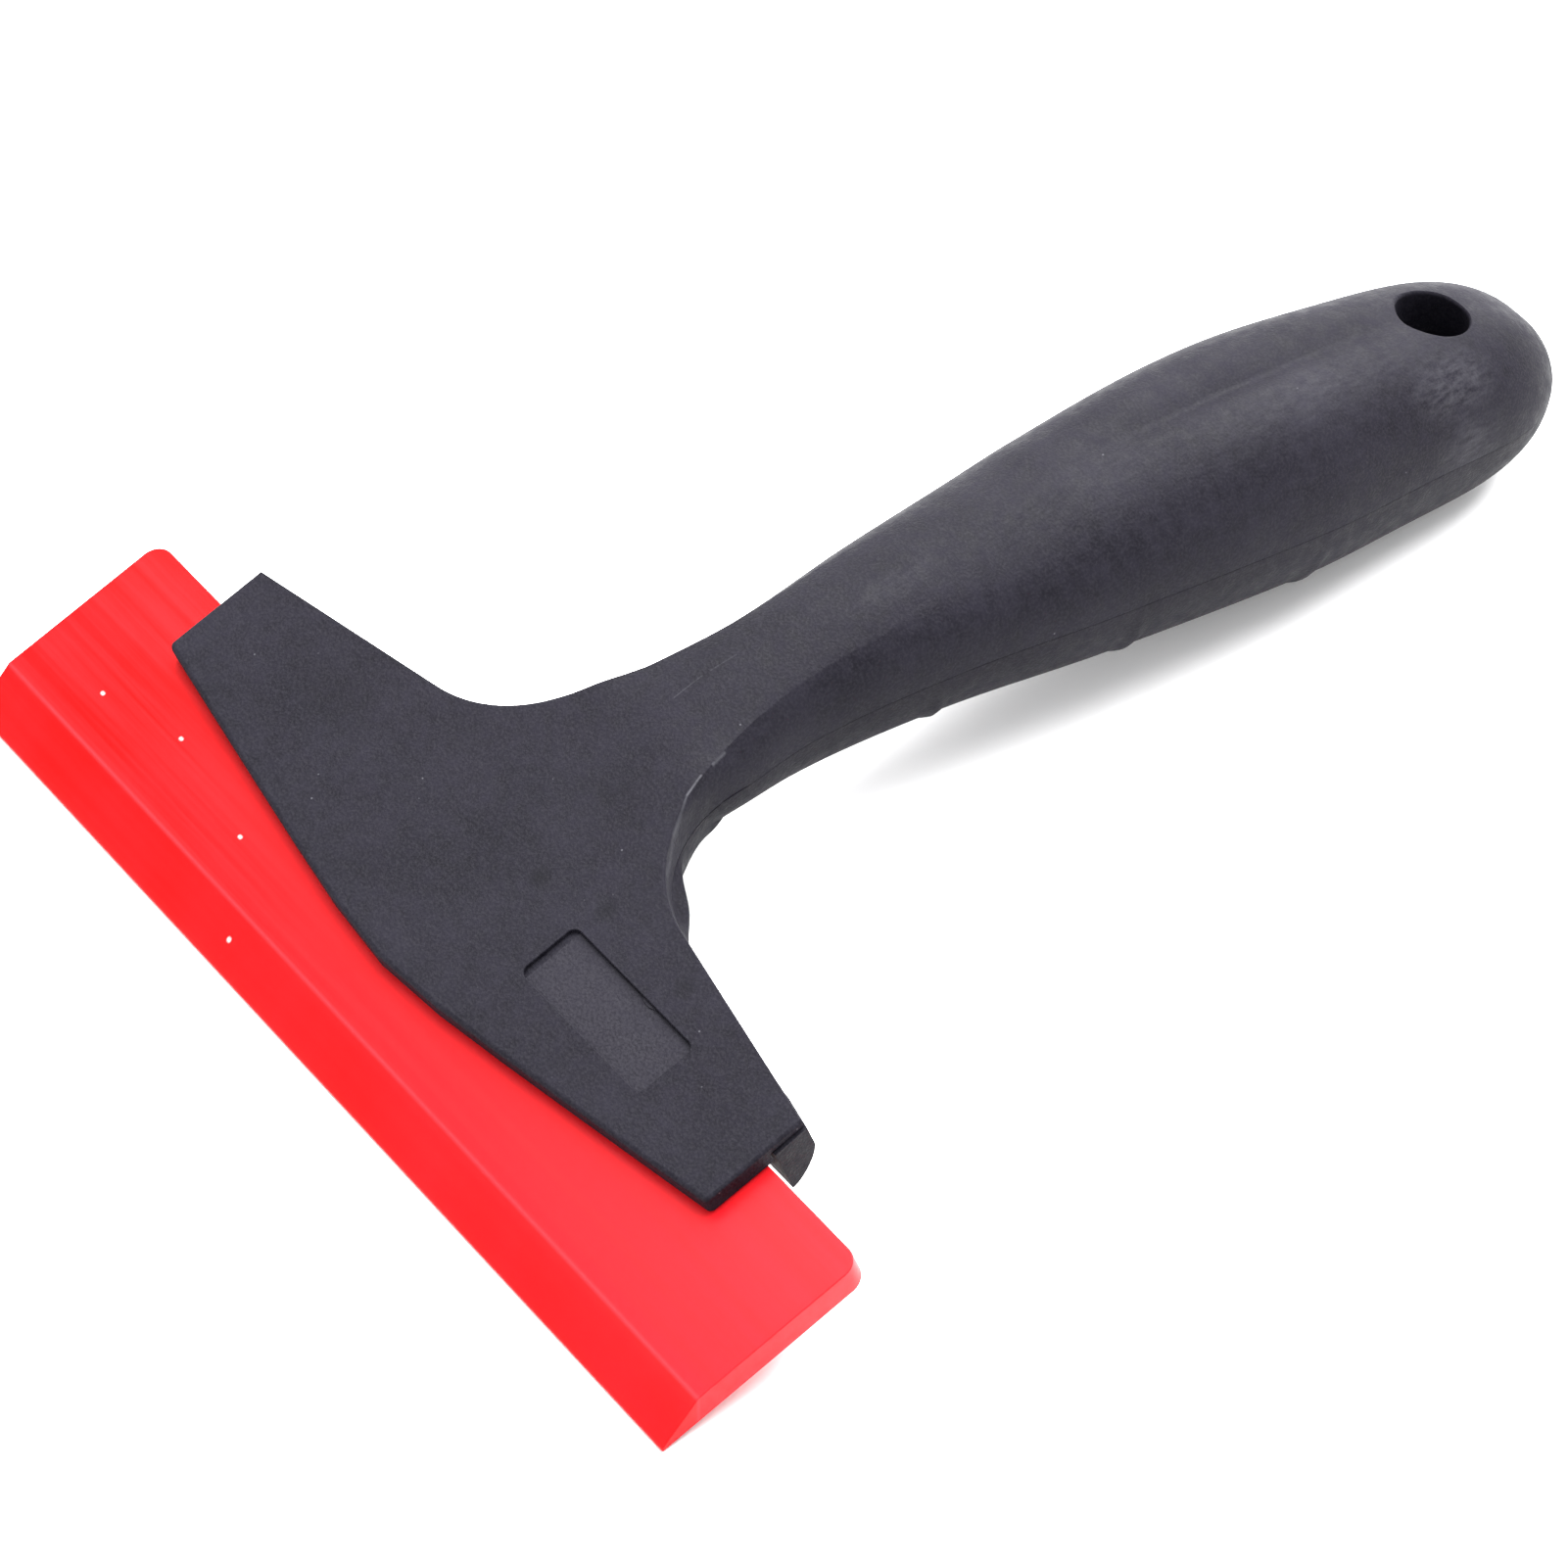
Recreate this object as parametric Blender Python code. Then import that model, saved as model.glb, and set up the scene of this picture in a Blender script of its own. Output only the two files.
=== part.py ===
"""Hand squeegee applicator: a beveled squeegee blade in the slot of a two-shell T handle.

Lengths are in metres. +X runs along the blade, +Y from the blade's working edge towards the
end of the handle and +Z up from the table that the tool lies on, resting on its working edge
and on the belly of its grip. The origin is below the centre of the whole tool's box.

The two shells are described in coordinates that follow the crown of the handle: x across it,
y along it, and depth straight down from it. The crown is flat over the head and arched over
the grip.
"""

import math

import bmesh
import bpy
from mathutils import Vector

MM = 0.001

# Blade
BLADE_LENGTH = 127.0 * MM
BLADE_WIDTH = 26.9 * MM
BLADE_THICKNESS = 3.5 * MM
BEVEL_WIDTH = 5.8 * MM
EDGE_LAND = 0.5 * MM
BLADE_CORNER_RADIUS = 2.2 * MM

# Head
HEAD_PITCH = math.radians(18.7)
FACE_HEIGHT = 6.07 * MM
HEAD_X = -0.7 * MM
HEAD_HALF_WIDTH = 48.85 * MM
LIP_END = 19.25 * MM
LIP_SWEEP = 0.155
LIP_NOSE = 8.0 * MM
SWEEP_FADE = 6.0 * MM
BACK_CORNER = 32.1 * MM
BACK_EDGE_SLOPE = 0.179
NECK_FILLET = 15.5 * MM
NECK_HALF_WIDTH = 9.2 * MM
FILLET_FLARE = 1.3 * MM
FLARE_RISE_END = 0.25
FLARE_FALL_END = 0.6
FILLET_TUCK = 0.8 * MM

# Slot for the blade, and the rear jaw below it
GAP = 0.3 * MM
CUTTER_MARGIN = 1.5 * MM
SLOT_BACK = 27.9 * MM
COVER_THICKNESS = 0.87 * MM
SEAT_STEP = 0.03 * MM
WEB_OVERHANG = 0.35 * MM
WEB_END_DEPTH = 8.0 * MM
WEB_DEPTH = 9.4 * MM
JAW_DEPTH = 9.3 * MM
WEB_SHOULDER = 4.1 * MM
WEB_ROUNDING = 4.0 * MM
WEB_ROUNDING_POWER = 4 / 3
WEB_TOP_FRONT = 31.2 * MM
WEB_STEP = 0.4 * MM
WEB_TOP_DROP = 0.08 * MM
JAW_HALF_WIDTH = 44.0 * MM
JAW_SETBACK = 1.6 * MM
JAW_BACK = 30.1 * MM
GRIP_START = 34.0 * MM

# Handle. The tables give (y on the crown, value) in millimetres, and shares of the half width.
TOOL_LENGTH = 166.05 * MM
CROWN_END = 168.5
CROWN_SLOPES = ((46.0, math.tan(HEAD_PITCH)), (57.0, 0.165), (99.0, 0.0), (CROWN_END, -0.26))
HALF_WIDTHS = ((28.0, 8.8), (47.5, 9.3), (60.0, 8.15), (76.0, 9.65), (99.0, 12.5), (127.0, 13.93),
               (149.0, 12.74), (CROWN_END, 13.26))
HALF_DEPTHS = ((28.0, 4.3), (48.0, 6.6), (60.0, 8.3), (76.0, 9.65), (99.0, 11.5), (127.0, 12.5),
               (149.0, 11.97), (CROWN_END, 10.92))
CREASE_SHARES = ((28.0, 0.96), (42.0, 0.96), (50.0, 0.78), (60.0, 0.7), (76.0, 0.59), (99.0, 0.1),
                 (CROWN_END, 0.1))
CREASE_DROPS = ((28.0, 0.0), (44.0, 0.0), (50.0, 0.9), (60.0, 1.2), (76.0, 1.3), (99.0, 0.0),
                (CROWN_END, 0.0))
END_CAP = 29.1
END_CAP_POWER = 3.67
PARTING_SHARE = 0.48
PARTING_RISE = 0.25
PARTING_BLEND = 1.2 * MM
EDGE_RADIUS = 0.35 * MM
FLANK_START = 40.0 * MM
FLANK_FULL = 50.0 * MM
CREASE_END = 85.0 * MM
CREASE_LEAD = 0.33
ROUND_LEAD = 0.5523
FLANK_REACH = 0.96
BELLY_FLAT_SHARE = 0.1
WALL = 2.4 * MM
CAVITY = (66.0 * MM, 119.0 * MM)
CAVITY_END_SHARE = 0.97
CAVITY_POWER = 6
RIDGES = (74.7 * MM, 100.3 * MM, 126.4 * MM)
RIDGE_HEIGHT = 0.32 * MM
RIDGE_HALF_LENGTH = 1.3 * MM
RIDGE_FADE = (0.05, 0.5)

# Recess in the face, and the hole for hanging
RECESS_CENTRE = (23.5 * MM, 25.8 * MM)
RECESS_SIZE = (20.8 * MM, 7.4 * MM)
RECESS_DEPTH = 0.55 * MM
RECESS_RADIUS = 1.0 * MM
HOLE_Y = 151.0 * MM
HOLE_RADIUS = 4.15 * MM
HOLE_RIM = 0.42 * MM
HOLE_FLARE = 6.0 * MM

# Screws: x, y on the crown, depth of the seat under the screw head and depth of the shank's tip
SHANK_RADIUS = 1.3 * MM
TIP_RADIUS = 0.5 * MM
TIP_LENGTH = 0.8 * MM
SCREW_HEAD_RADIUS = 2.6 * MM
SCREW_HEAD_HEIGHT = 1.7 * MM
HEAD_CHAMFER = (0.5 * MM, 0.7 * MM)
DRIVE_RADII = (1.1 * MM, 1.3 * MM)
DRIVE_DEPTH = 1.0 * MM
SCREW_WELL = 12.0 * MM
BOSS_RADIUS = 2.5 * MM
BOSS_TOP = 0.4 * MM
BOSS_DEPTH = 4.6 * MM
SCREWS = {
    "head_screw_left": (-26.0 * MM, 28.0 * MM, 7.0 * MM, 1.8 * MM),
    "head_screw_right": (26.0 * MM, 28.0 * MM, 7.0 * MM, 1.8 * MM),
    "neck_screw": (0.0, 58.0 * MM, 12.6 * MM, 3.6 * MM),
    "grip_screw": (0.0, 132.0 * MM, 20.0 * MM, 8.0 * MM),
}

# How finely the curved parts are divided
LIP_STEPS = 5
OUTLINE_STEPS = 8
FLAT_STEPS = 5
FLANK_STEPS = 6
GRIP_STEPS = 24
END_STEPS = 12
END_STOP = 0.3
WEB_STEPS = 6
CORNER_STEPS = 5
CAVITY_SIDES = 20
CAVITY_RINGS = 10
ROUND_SIDES = 24
HOLE_SIDES = 32


def material(name, colour, roughness, metallic=0.0):
    made = bpy.data.materials.new(name)
    made.use_nodes = True
    shader = made.node_tree.nodes["Principled BSDF"]
    shader.inputs["Base Color"].default_value = (*colour, 1.0)
    shader.inputs["Roughness"].default_value = roughness
    shader.inputs["Metallic"].default_value = metallic
    made.diffuse_color = (*colour, 1.0)
    return made


def mesh_object(name, points, faces, look, sharp_angle=35.0):
    """An object from points and faces, with its faces turned outwards and round parts smooth."""
    mesh = bpy.data.meshes.new(name)
    mesh.from_pydata(points, [], faces)
    made = bmesh.new()
    made.from_mesh(mesh)
    bmesh.ops.recalc_face_normals(made, faces=made.faces)
    made.to_mesh(mesh)
    made.free()
    mesh.shade_smooth()
    mesh.set_sharp_from_angle(angle=math.radians(sharp_angle))
    obj = bpy.data.objects.new(name, mesh)
    bpy.context.scene.collection.objects.link(obj)
    if look is not None:
        mesh.materials.append(look)
    return obj


def boolean(target, tool, operation):
    """Joins or cuts target with a helper, which stays out of the render."""
    tool.hide_render = True
    tool.display_type = "WIRE"
    step = target.modifiers.new(tool.name, "BOOLEAN")
    step.operation = operation
    step.solver = "EXACT"
    step.object = tool


# Half of the way from the working edge to the end of the grip
MIDDLE_Y = (TOOL_LENGTH - EDGE_LAND * math.sin(HEAD_PITCH)) / 2


def smoothstep(low, high, value):
    share = min(max((value - low) / (high - low), 0.0), 1.0)
    return share * share * (3.0 - 2.0 * share)


def curve_through(knots, y):
    """A smooth curve through (y, value) knots in millimetres, read at y in metres."""
    at = min(max(y / MM, knots[0][0]), knots[-1][0])
    last = len(knots) - 1
    i = next(k for k in range(last) if at <= knots[k + 1][0])

    def tangent(k):
        low, high = knots[max(k - 1, 0)], knots[min(k + 1, last)]
        return (high[1] - low[1]) / (high[0] - low[0])

    (y0, v0), (y1, v1) = knots[i], knots[i + 1]
    span = y1 - y0
    t = (at - y0) / span
    ends = v0 * (1 + 2 * t) * (1 - t) ** 2 + v1 * t * t * (3 - 2 * t)
    bends = tangent(i) * span * t * (1 - t) ** 2 - tangent(i + 1) * span * t * t * (1 - t)
    return (ends + bends) * MM


def crown(y):
    """Height and slope of the crown. The slope changes evenly between the knots."""
    at = y / MM
    start, slope = CROWN_SLOPES[0]
    height = FACE_HEIGHT / math.cos(HEAD_PITCH) / MM + slope * start
    if at <= start:
        return (height + slope * (at - start)) * MM, slope
    for end, end_slope in CROWN_SLOPES[1:]:
        span = min(at, end) - start
        here = slope + (end_slope - slope) * span / (end - start)
        height += 0.5 * (slope + here) * span
        if at <= end:
            return height * MM, here
        start, slope = end, end_slope
    return (height + slope * (at - start)) * MM, slope


def on_handle(x, y, depth):
    """The point at x across, y along and depth below the crown."""
    height, slope = crown(y)
    tilt = math.atan(slope)
    along = y + depth * math.sin(tilt)
    return Vector((HEAD_X + x, along - MIDDLE_Y, height - depth * math.cos(tilt)))


def face_y(distance):
    """y on the crown of a point on the flat face, from its distance behind the working edge."""
    return distance * math.cos(HEAD_PITCH) - FACE_HEIGHT * math.sin(HEAD_PITCH)


def on_blade(x, distance, height):
    """The point at x along, distance behind the edge and height above the blade's underside."""
    along = distance * math.cos(HEAD_PITCH) - height * math.sin(HEAD_PITCH)
    up = distance * math.sin(HEAD_PITCH) + height * math.cos(HEAD_PITCH)
    return Vector((x, along - MIDDLE_Y, up))


def cap_share(y):
    """Share of the full section that is left at y, closing round the end of the grip."""
    t = min(max((y / MM - CROWN_END + END_CAP) / END_CAP, 0.0), 1.0)
    return math.sqrt(max(1.0 - t**END_CAP_POWER, 0.0))


def half_width(y):
    return curve_through(HALF_WIDTHS, y) * cap_share(y)


def depths(y):
    """Depth of the grip's top and of its underside below the crown."""
    half = curve_through(HALF_DEPTHS, y)
    return half * (1.0 - cap_share(y)), half * (1.0 + cap_share(y))


def parting_depth(y):
    """Depth of the joint between the shells: close under the face, half-way down the grip."""
    top, bottom = depths(y)
    middle = top + PARTING_SHARE * (bottom - top)
    ramp = COVER_THICKNESS + PARTING_RISE * max(y - face_y(BACK_CORNER), 0.0)
    reach = max(PARTING_BLEND - abs(ramp - middle), 0.0)
    return max(min(ramp, middle) - reach * reach / (4.0 * PARTING_BLEND), COVER_THICKNESS)


def back_edge(x):
    """Distance of the head's straight back edge behind the working edge, at x."""
    return BACK_CORNER + BACK_EDGE_SLOPE * (HEAD_HALF_WIDTH - x)


def fillet_centre():
    """x and distance of the centre that the fillet from head to neck is turned round."""
    x = NECK_HALF_WIDTH + NECK_FILLET
    return x, back_edge(x) + NECK_FILLET * math.hypot(1.0, BACK_EDGE_SLOPE)


def back_outline(count):
    """(x, distance, share of the fillet passed) along the back edge, from its corner to the neck."""
    centre_x, centre = fillet_centre()
    first = math.atan(BACK_EDGE_SLOPE)
    start_x = centre_x - NECK_FILLET * math.sin(first)
    points = []
    for i in range(LIP_STEPS):
        x = HEAD_HALF_WIDTH + (start_x - HEAD_HALF_WIDTH) * i / LIP_STEPS
        points.append((x, back_edge(x), 0.0))
    for i in range(count + 1):
        angle = first + (math.pi / 2 - first) * i / count
        x = centre_x - NECK_FILLET * math.sin(angle)
        points.append((x, centre - NECK_FILLET * math.cos(angle), i / count))
    return points


def swept(x, edge_x, edge_distance, sweep):
    """Distance, at x, of a shallow V with a round nose that ends at edge_x, edge_distance."""
    return edge_distance - sweep * (math.hypot(edge_x, LIP_NOSE) - math.hypot(x, LIP_NOSE))


def grip_stations(first):
    """y of the grip's sections: even steps, extra ones at the ridges, closer round the end."""
    cap = (CROWN_END - END_CAP) * MM
    steps = [first + (cap - first) * i / GRIP_STEPS for i in range(GRIP_STEPS + 1)]
    clear = [y for y in steps if min(abs(y - ridge) for ridge in RIDGES) > 1.2 * RIDGE_HALF_LENGTH]
    ridges = [ridge + RIDGE_HALF_LENGTH * k / 2 for ridge in RIDGES for k in range(-2, 3)]
    end = []
    for i in range(1, END_STEPS + 1):
        angle = math.pi / 2 * i / (END_STEPS + END_STOP)
        end.append(cap + END_CAP * MM * math.sin(angle))
    return sorted(clear + ridges) + end


def loft(name, sections, look):
    """A closed body through sections that each hold an outer row and an inner row of points."""
    rows = len(sections[0][0])
    points = [p for outer, inner in sections for p in (*outer, *inner)]
    stride = 2 * rows
    faces = []
    for s in range(len(sections) - 1):
        for i in range(rows - 1):
            a = s * stride + i
            faces.append((a, a + 1, a + 1 + stride, a + stride))
            b = a + rows
            faces.append((b + 1, b, b + stride, b + 1 + stride))
        for side in (0, rows - 1):
            a = s * stride + side
            faces.append((a, a + rows, a + rows + stride, a + stride))
    for s in (0, len(sections) - 1):
        for i in range(rows - 1):
            a = s * stride + i
            faces.append((a, a + 1, a + 1 + rows, a + rows))
    return mesh_object(name, points, faces, look)


def half_section(width, crease_x, crease_drop, flank_depth, crispness):
    """(x, drop) from the middle to the side: an arch out to a crease, then a flank that ends upright.

    The flank is a cubic. At a crispness of 0 it carries on from the arch, and there is no crease.
    """
    half = []
    for i in range(FLAT_STEPS + 1):
        share = i / FLAT_STEPS
        half.append((crease_x * share, crease_drop * share * share))
    reach, fall = width - crease_x, flank_depth - crease_drop
    arch_slope = 2.0 * crease_drop / crease_x
    slope = arch_slope + crispness * (fall / (2.0 * reach) - arch_slope)
    lead = reach * (ROUND_LEAD + crispness * (CREASE_LEAD - ROUND_LEAD))
    lowest_lead = flank_depth - ROUND_LEAD * fall
    for i in range(1, FLANK_STEPS + 1):
        t = i / FLANK_STEPS
        shares = ((1 - t) ** 3, 3 * t * (1 - t) ** 2, 3 * t * t * (1 - t), t**3)
        xs = (crease_x, crease_x + lead, width, width)
        drops = (crease_drop, crease_drop + lead * slope, lowest_lead, flank_depth)
        x = sum(share * value for share, value in zip(shares, xs))
        half.append((x, sum(share * value for share, value in zip(shares, drops))))
    return half


def both_sides(half):
    """A half section and its mirror image, from side to side."""
    return [(-x, drop) for x, drop in reversed(half[1:])] + half


def front_section(edge_x, edge_y, sweep):
    """A section of the front shell through its edge, swept forward towards the middle."""
    rounding = smoothstep(FLANK_START, FLANK_FULL, edge_y)
    room = parting_depth(edge_y) - depths(edge_y)[0]
    crease_share = curve_through(CREASE_SHARES, edge_y) / MM
    crease_x = (edge_x - EDGE_RADIUS) * (1.0 - rounding) + crease_share * edge_x * rounding
    crease_drop = curve_through(CREASE_DROPS, edge_y)
    flank_depth = EDGE_RADIUS + (FLANK_REACH * room - EDGE_RADIUS) * rounding
    crispness = 1.0 - smoothstep(FLANK_FULL, CREASE_END, edge_y)
    outer, inner = [], []
    for x, drop in both_sides(half_section(edge_x, crease_x, crease_drop, flank_depth, crispness)):
        y = swept(x, edge_x, edge_y, sweep)
        outer.append(on_handle(x, y, depths(y)[0] + drop))
        inner.append(on_handle(x, y, slot_or_parting(y)))
    return outer, inner


def slot_or_parting(y):
    """Depth of the front shell's underside before its seat on the rear shell is cut."""
    return max(parting_depth(y), FACE_HEIGHT - BLADE_THICKNESS - GAP)


def front_blank(look):
    sections = []
    lip_y, corner_y = face_y(LIP_END), face_y(BACK_CORNER)
    outline = back_outline(OUTLINE_STEPS)
    neck_y = face_y(outline[-1][1])

    def sweep_at(y):
        return LIP_SWEEP * (1.0 - smoothstep(corner_y - SWEEP_FADE, neck_y, y))

    for i in range(LIP_STEPS):
        y = lip_y + (corner_y - lip_y) * i / LIP_STEPS
        sections.append(front_section(HEAD_HALF_WIDTH, y, sweep_at(y)))
    for x, distance, _ in outline:
        y = face_y(distance)
        sections.append(front_section(x, y, sweep_at(y)))
    for y in grip_stations(neck_y + 2.0 * MM):
        sections.append(front_section(half_width(y), y, 0.0))
    return loft("front_shell", sections, look)


def ridge_lift(y):
    """How far the finger ridges stand out at y."""
    nearest = min(abs(y - ridge) for ridge in RIDGES)
    share = max(1.0 - (nearest / RIDGE_HALF_LENGTH) ** 2, 0.0)
    return RIDGE_HEIGHT * share * share


def rear_section(y):
    """A section of the rear shell's grip: flat on the joint, rounded below."""
    width = half_width(y)
    joint = parting_depth(y) + GAP
    bottom = depths(y)[1]
    room = bottom - joint
    flat = BELLY_FLAT_SHARE * width
    outer, inner = [], []
    for x, drop in both_sides(half_section(width, flat, 0.0, FLANK_REACH * room, 0.0)):
        below = (room - drop) / room
        lift = ridge_lift(y) * smoothstep(*RIDGE_FADE, below)
        outer.append(on_handle(x * (1.0 + lift / width), y, bottom - drop + lift * below))
        inner.append(on_handle(x, y, joint))
    return outer, inner


def web_section(side, x, back, share, deep):
    """A section of the web, whose back flares out where the fillet starts and tucks in at the neck."""
    rise = smoothstep(0.0, FLARE_RISE_END, share)
    fall = 1.0 - smoothstep(FLARE_RISE_END, FLARE_FALL_END, share)
    tuck = FILLET_TUCK * smoothstep(FLARE_FALL_END, 1.0, share)
    flare = FILLET_FLARE * rise * fall - tuck
    angle = math.pi / 2 * share
    edge = max(WEB_SHOULDER, parting_depth(face_y(back)) + GAP + WEB_STEP)
    outer = [on_handle(side * x, face_y(SLOT_BACK), deep)]
    for i in range(WEB_STEPS + 1):
        turn = math.pi / 2 * i / WEB_STEPS
        inset = WEB_ROUNDING * (1.0 - math.sin(turn) ** WEB_ROUNDING_POWER)
        drop = (deep - edge) * math.cos(turn) ** WEB_ROUNDING_POWER
        y = face_y(back - inset + flare * math.cos(angle))
        outer.append(on_handle(side * (x + flare * math.sin(angle)), y, edge + drop))
    inner = [on_handle(side * x, face_y(SLOT_BACK), COVER_THICKNESS + GAP)]
    for i in range(WEB_STEPS + 1):
        y = face_y(WEB_TOP_FRONT + (back - WEB_TOP_FRONT) * i / WEB_STEPS)
        inner.append(on_handle(side * x, y, parting_depth(y) + GAP + WEB_TOP_DROP))
    return outer, inner


def rear_web(look):
    """The head's wall behind the slot, shallower at the two ends that stand past the jaw."""
    shoulder = back_edge(JAW_HALF_WIDTH)
    outline = [
        (HEAD_HALF_WIDTH + WEB_OVERHANG, BACK_CORNER, 0.0, WEB_END_DEPTH),
        (JAW_HALF_WIDTH + 2.0 * WEB_STEP, shoulder, 0.0, WEB_END_DEPTH),
        (JAW_HALF_WIDTH + WEB_STEP, shoulder, 0.0, WEB_DEPTH),
    ]
    for x, back, share in back_outline(OUTLINE_STEPS):
        if x < JAW_HALF_WIDTH:
            outline.append((x, back, share, WEB_DEPTH))
    sections = [web_section(-1, *point) for point in outline]
    sections += [web_section(1, *point) for point in reversed(outline)]
    return loft("rear_shell", sections, look)


def slab(name, near, far):
    """A body between two outlines with the same number of points."""
    count = len(near)
    faces = [tuple(range(count)), tuple(range(2 * count - 1, count - 1, -1))]
    faces += [(i, (i + 1) % count, (i + 1) % count + count, i + count) for i in range(count)]
    return mesh_object(name, near + far, faces, None)


def prism(name, outline, top, bottom):
    """A plate with an outline in x and y on the crown, between two depths."""
    near = [on_handle(x, y, top) for x, y in outline]
    far = [on_handle(x, y, bottom) for x, y in outline]
    return slab(name, near, far)


def rear_jaw():
    """The lower jaw under the blade, with its front edge set back behind the front lip."""
    xs = [JAW_HALF_WIDTH * i / 8 for i in range(-8, 9)]
    lip = [(x, face_y(swept(x, HEAD_HALF_WIDTH, LIP_END, LIP_SWEEP) + JAW_SETBACK)) for x in xs]
    back = face_y(JAW_BACK)
    outline = lip + [(JAW_HALF_WIDTH, back), (-JAW_HALF_WIDTH, back)]
    return prism("rear_jaw_body", outline, FACE_HEIGHT + GAP, JAW_DEPTH)


def turned(name, x, y, profile, segments=ROUND_SIDES):
    """A round body on the line straight down from the crown at x, y, from (radius, depth) pairs."""
    points = []
    height, slope = crown(y)
    tilt = math.atan(slope)
    down = Vector((0.0, math.sin(tilt), -math.cos(tilt)))
    side = Vector((1.0, 0.0, 0.0))
    other = down.cross(side)
    base = Vector((HEAD_X + x, y - MIDDLE_Y, height))
    for radius, depth in profile:
        for k in range(segments):
            angle = 2.0 * math.pi * k / segments
            out = side * math.cos(angle) + other * math.sin(angle)
            points.append(base + down * depth + out * radius)
    return round_body(name, points, len(profile), segments)


def round_body(name, points, rings, segments):
    """A closed body through rings of points, each with the same number of points."""
    faces = [tuple(range(segments)), tuple(range((rings - 1) * segments, rings * segments))]
    for r in range(rings - 1):
        for k in range(segments):
            a, b = r * segments + k, r * segments + (k + 1) % segments
            faces.append((a, b, b + segments, a + segments))
    return mesh_object(name, points, faces, None)


def hole_cutter(name):
    """An upright bore through the end of the handle, opened out at both rims."""
    centre_z = crown(HOLE_Y)[0]
    bottom_z = centre_z - depths(HOLE_Y)[1] / math.cos(math.atan(crown(HOLE_Y)[1]))
    profile = [
        (HOLE_RADIUS + HOLE_FLARE, centre_z + HOLE_FLARE),
        (HOLE_RADIUS, centre_z - HOLE_RIM),
        (HOLE_RADIUS, bottom_z + HOLE_RIM),
        (HOLE_RADIUS + HOLE_FLARE, bottom_z - HOLE_FLARE),
    ]
    points = []
    for radius, z in profile:
        for k in range(HOLE_SIDES):
            angle = 2.0 * math.pi * k / HOLE_SIDES
            x = HEAD_X + radius * math.cos(angle)
            y = HOLE_Y - MIDDLE_Y + radius * math.sin(angle)
            points.append(Vector((x, y, z)))
    return round_body(name, points, len(profile), HOLE_SIDES)


def cavity_cutter(name):
    """The hollow inside the grip, shared by both shells."""
    first, last = CAVITY
    points = []
    for r in range(CAVITY_RINGS + 1):
        t = -1.0 + 2.0 * r / CAVITY_RINGS
        y = (first + last) / 2 + (last - first) / 2 * t
        closing = math.sqrt(1.0 - (CAVITY_END_SHARE * t) ** CAVITY_POWER)
        half = sum(depths(y)) / 2
        for k in range(CAVITY_SIDES):
            angle = 2.0 * math.pi * k / CAVITY_SIDES
            x = (half_width(y) - WALL) * closing * math.cos(angle)
            points.append(on_handle(x, y, half + (half - WALL) * closing * math.sin(angle)))
    return round_body(name, points, CAVITY_RINGS + 1, CAVITY_SIDES)


def recess_outline():
    """(x, y on the crown) round the recess's rounded rectangle."""
    cx, distance = RECESS_CENTRE
    half_x, half_d = RECESS_SIZE[0] / 2, RECESS_SIZE[1] / 2
    outline = []
    for corner_x, corner_d, start in ((1, 1, 0), (-1, 1, 1), (-1, -1, 2), (1, -1, 3)):
        for i in range(4):
            angle = math.pi / 2 * (start + i / 3)
            x = cx + corner_x * (half_x - RECESS_RADIUS) + RECESS_RADIUS * math.cos(angle)
            d = distance + corner_d * (half_d - RECESS_RADIUS) + RECESS_RADIUS * math.sin(angle)
            outline.append((x, face_y(d)))
    return outline


def seat_cutter():
    """What the front shell loses behind the slot, where it thins to a cover over the rear shell."""
    slot_depth = FACE_HEIGHT - BLADE_THICKNESS - GAP
    ramp_end = face_y(BACK_CORNER) + (slot_depth - COVER_THICKNESS) / PARTING_RISE
    front = face_y(SLOT_BACK - GAP)
    lower = slot_depth + CUTTER_MARGIN
    profile = [
        (front, COVER_THICKNESS),
        (face_y(BACK_CORNER), COVER_THICKNESS),
        (ramp_end, slot_depth + SEAT_STEP),
        (ramp_end, lower),
        (front, lower),
    ]
    side = HEAD_HALF_WIDTH + CUTTER_MARGIN
    near = [on_handle(-side, y, depth) for y, depth in profile]
    far = [on_handle(side, y, depth) for y, depth in profile]
    return slab("seat_cutter", near, far)


def make_front_shell(look):
    shell = front_blank(look)
    boolean(shell, seat_cutter(), "DIFFERENCE")
    boolean(shell, cavity_cutter("front_cavity_cutter"), "DIFFERENCE")
    recess = prism("recess_cutter", recess_outline(), -CUTTER_MARGIN, RECESS_DEPTH)
    boolean(shell, recess, "DIFFERENCE")
    boolean(shell, hole_cutter("front_hole_cutter"), "DIFFERENCE")
    for name, (x, y, seat, tip) in SCREWS.items():
        if name.startswith("head"):
            boss = [(BOSS_RADIUS, BOSS_TOP), (BOSS_RADIUS, BOSS_DEPTH)]
            boolean(shell, turned(name + "_boss", x, y, boss), "UNION")
        pilot = [(SHANK_RADIUS + GAP, tip - GAP), (SHANK_RADIUS + GAP, seat)]
        boolean(shell, turned(name + "_pilot_cutter", x, y, pilot), "DIFFERENCE")
    return shell


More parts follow.
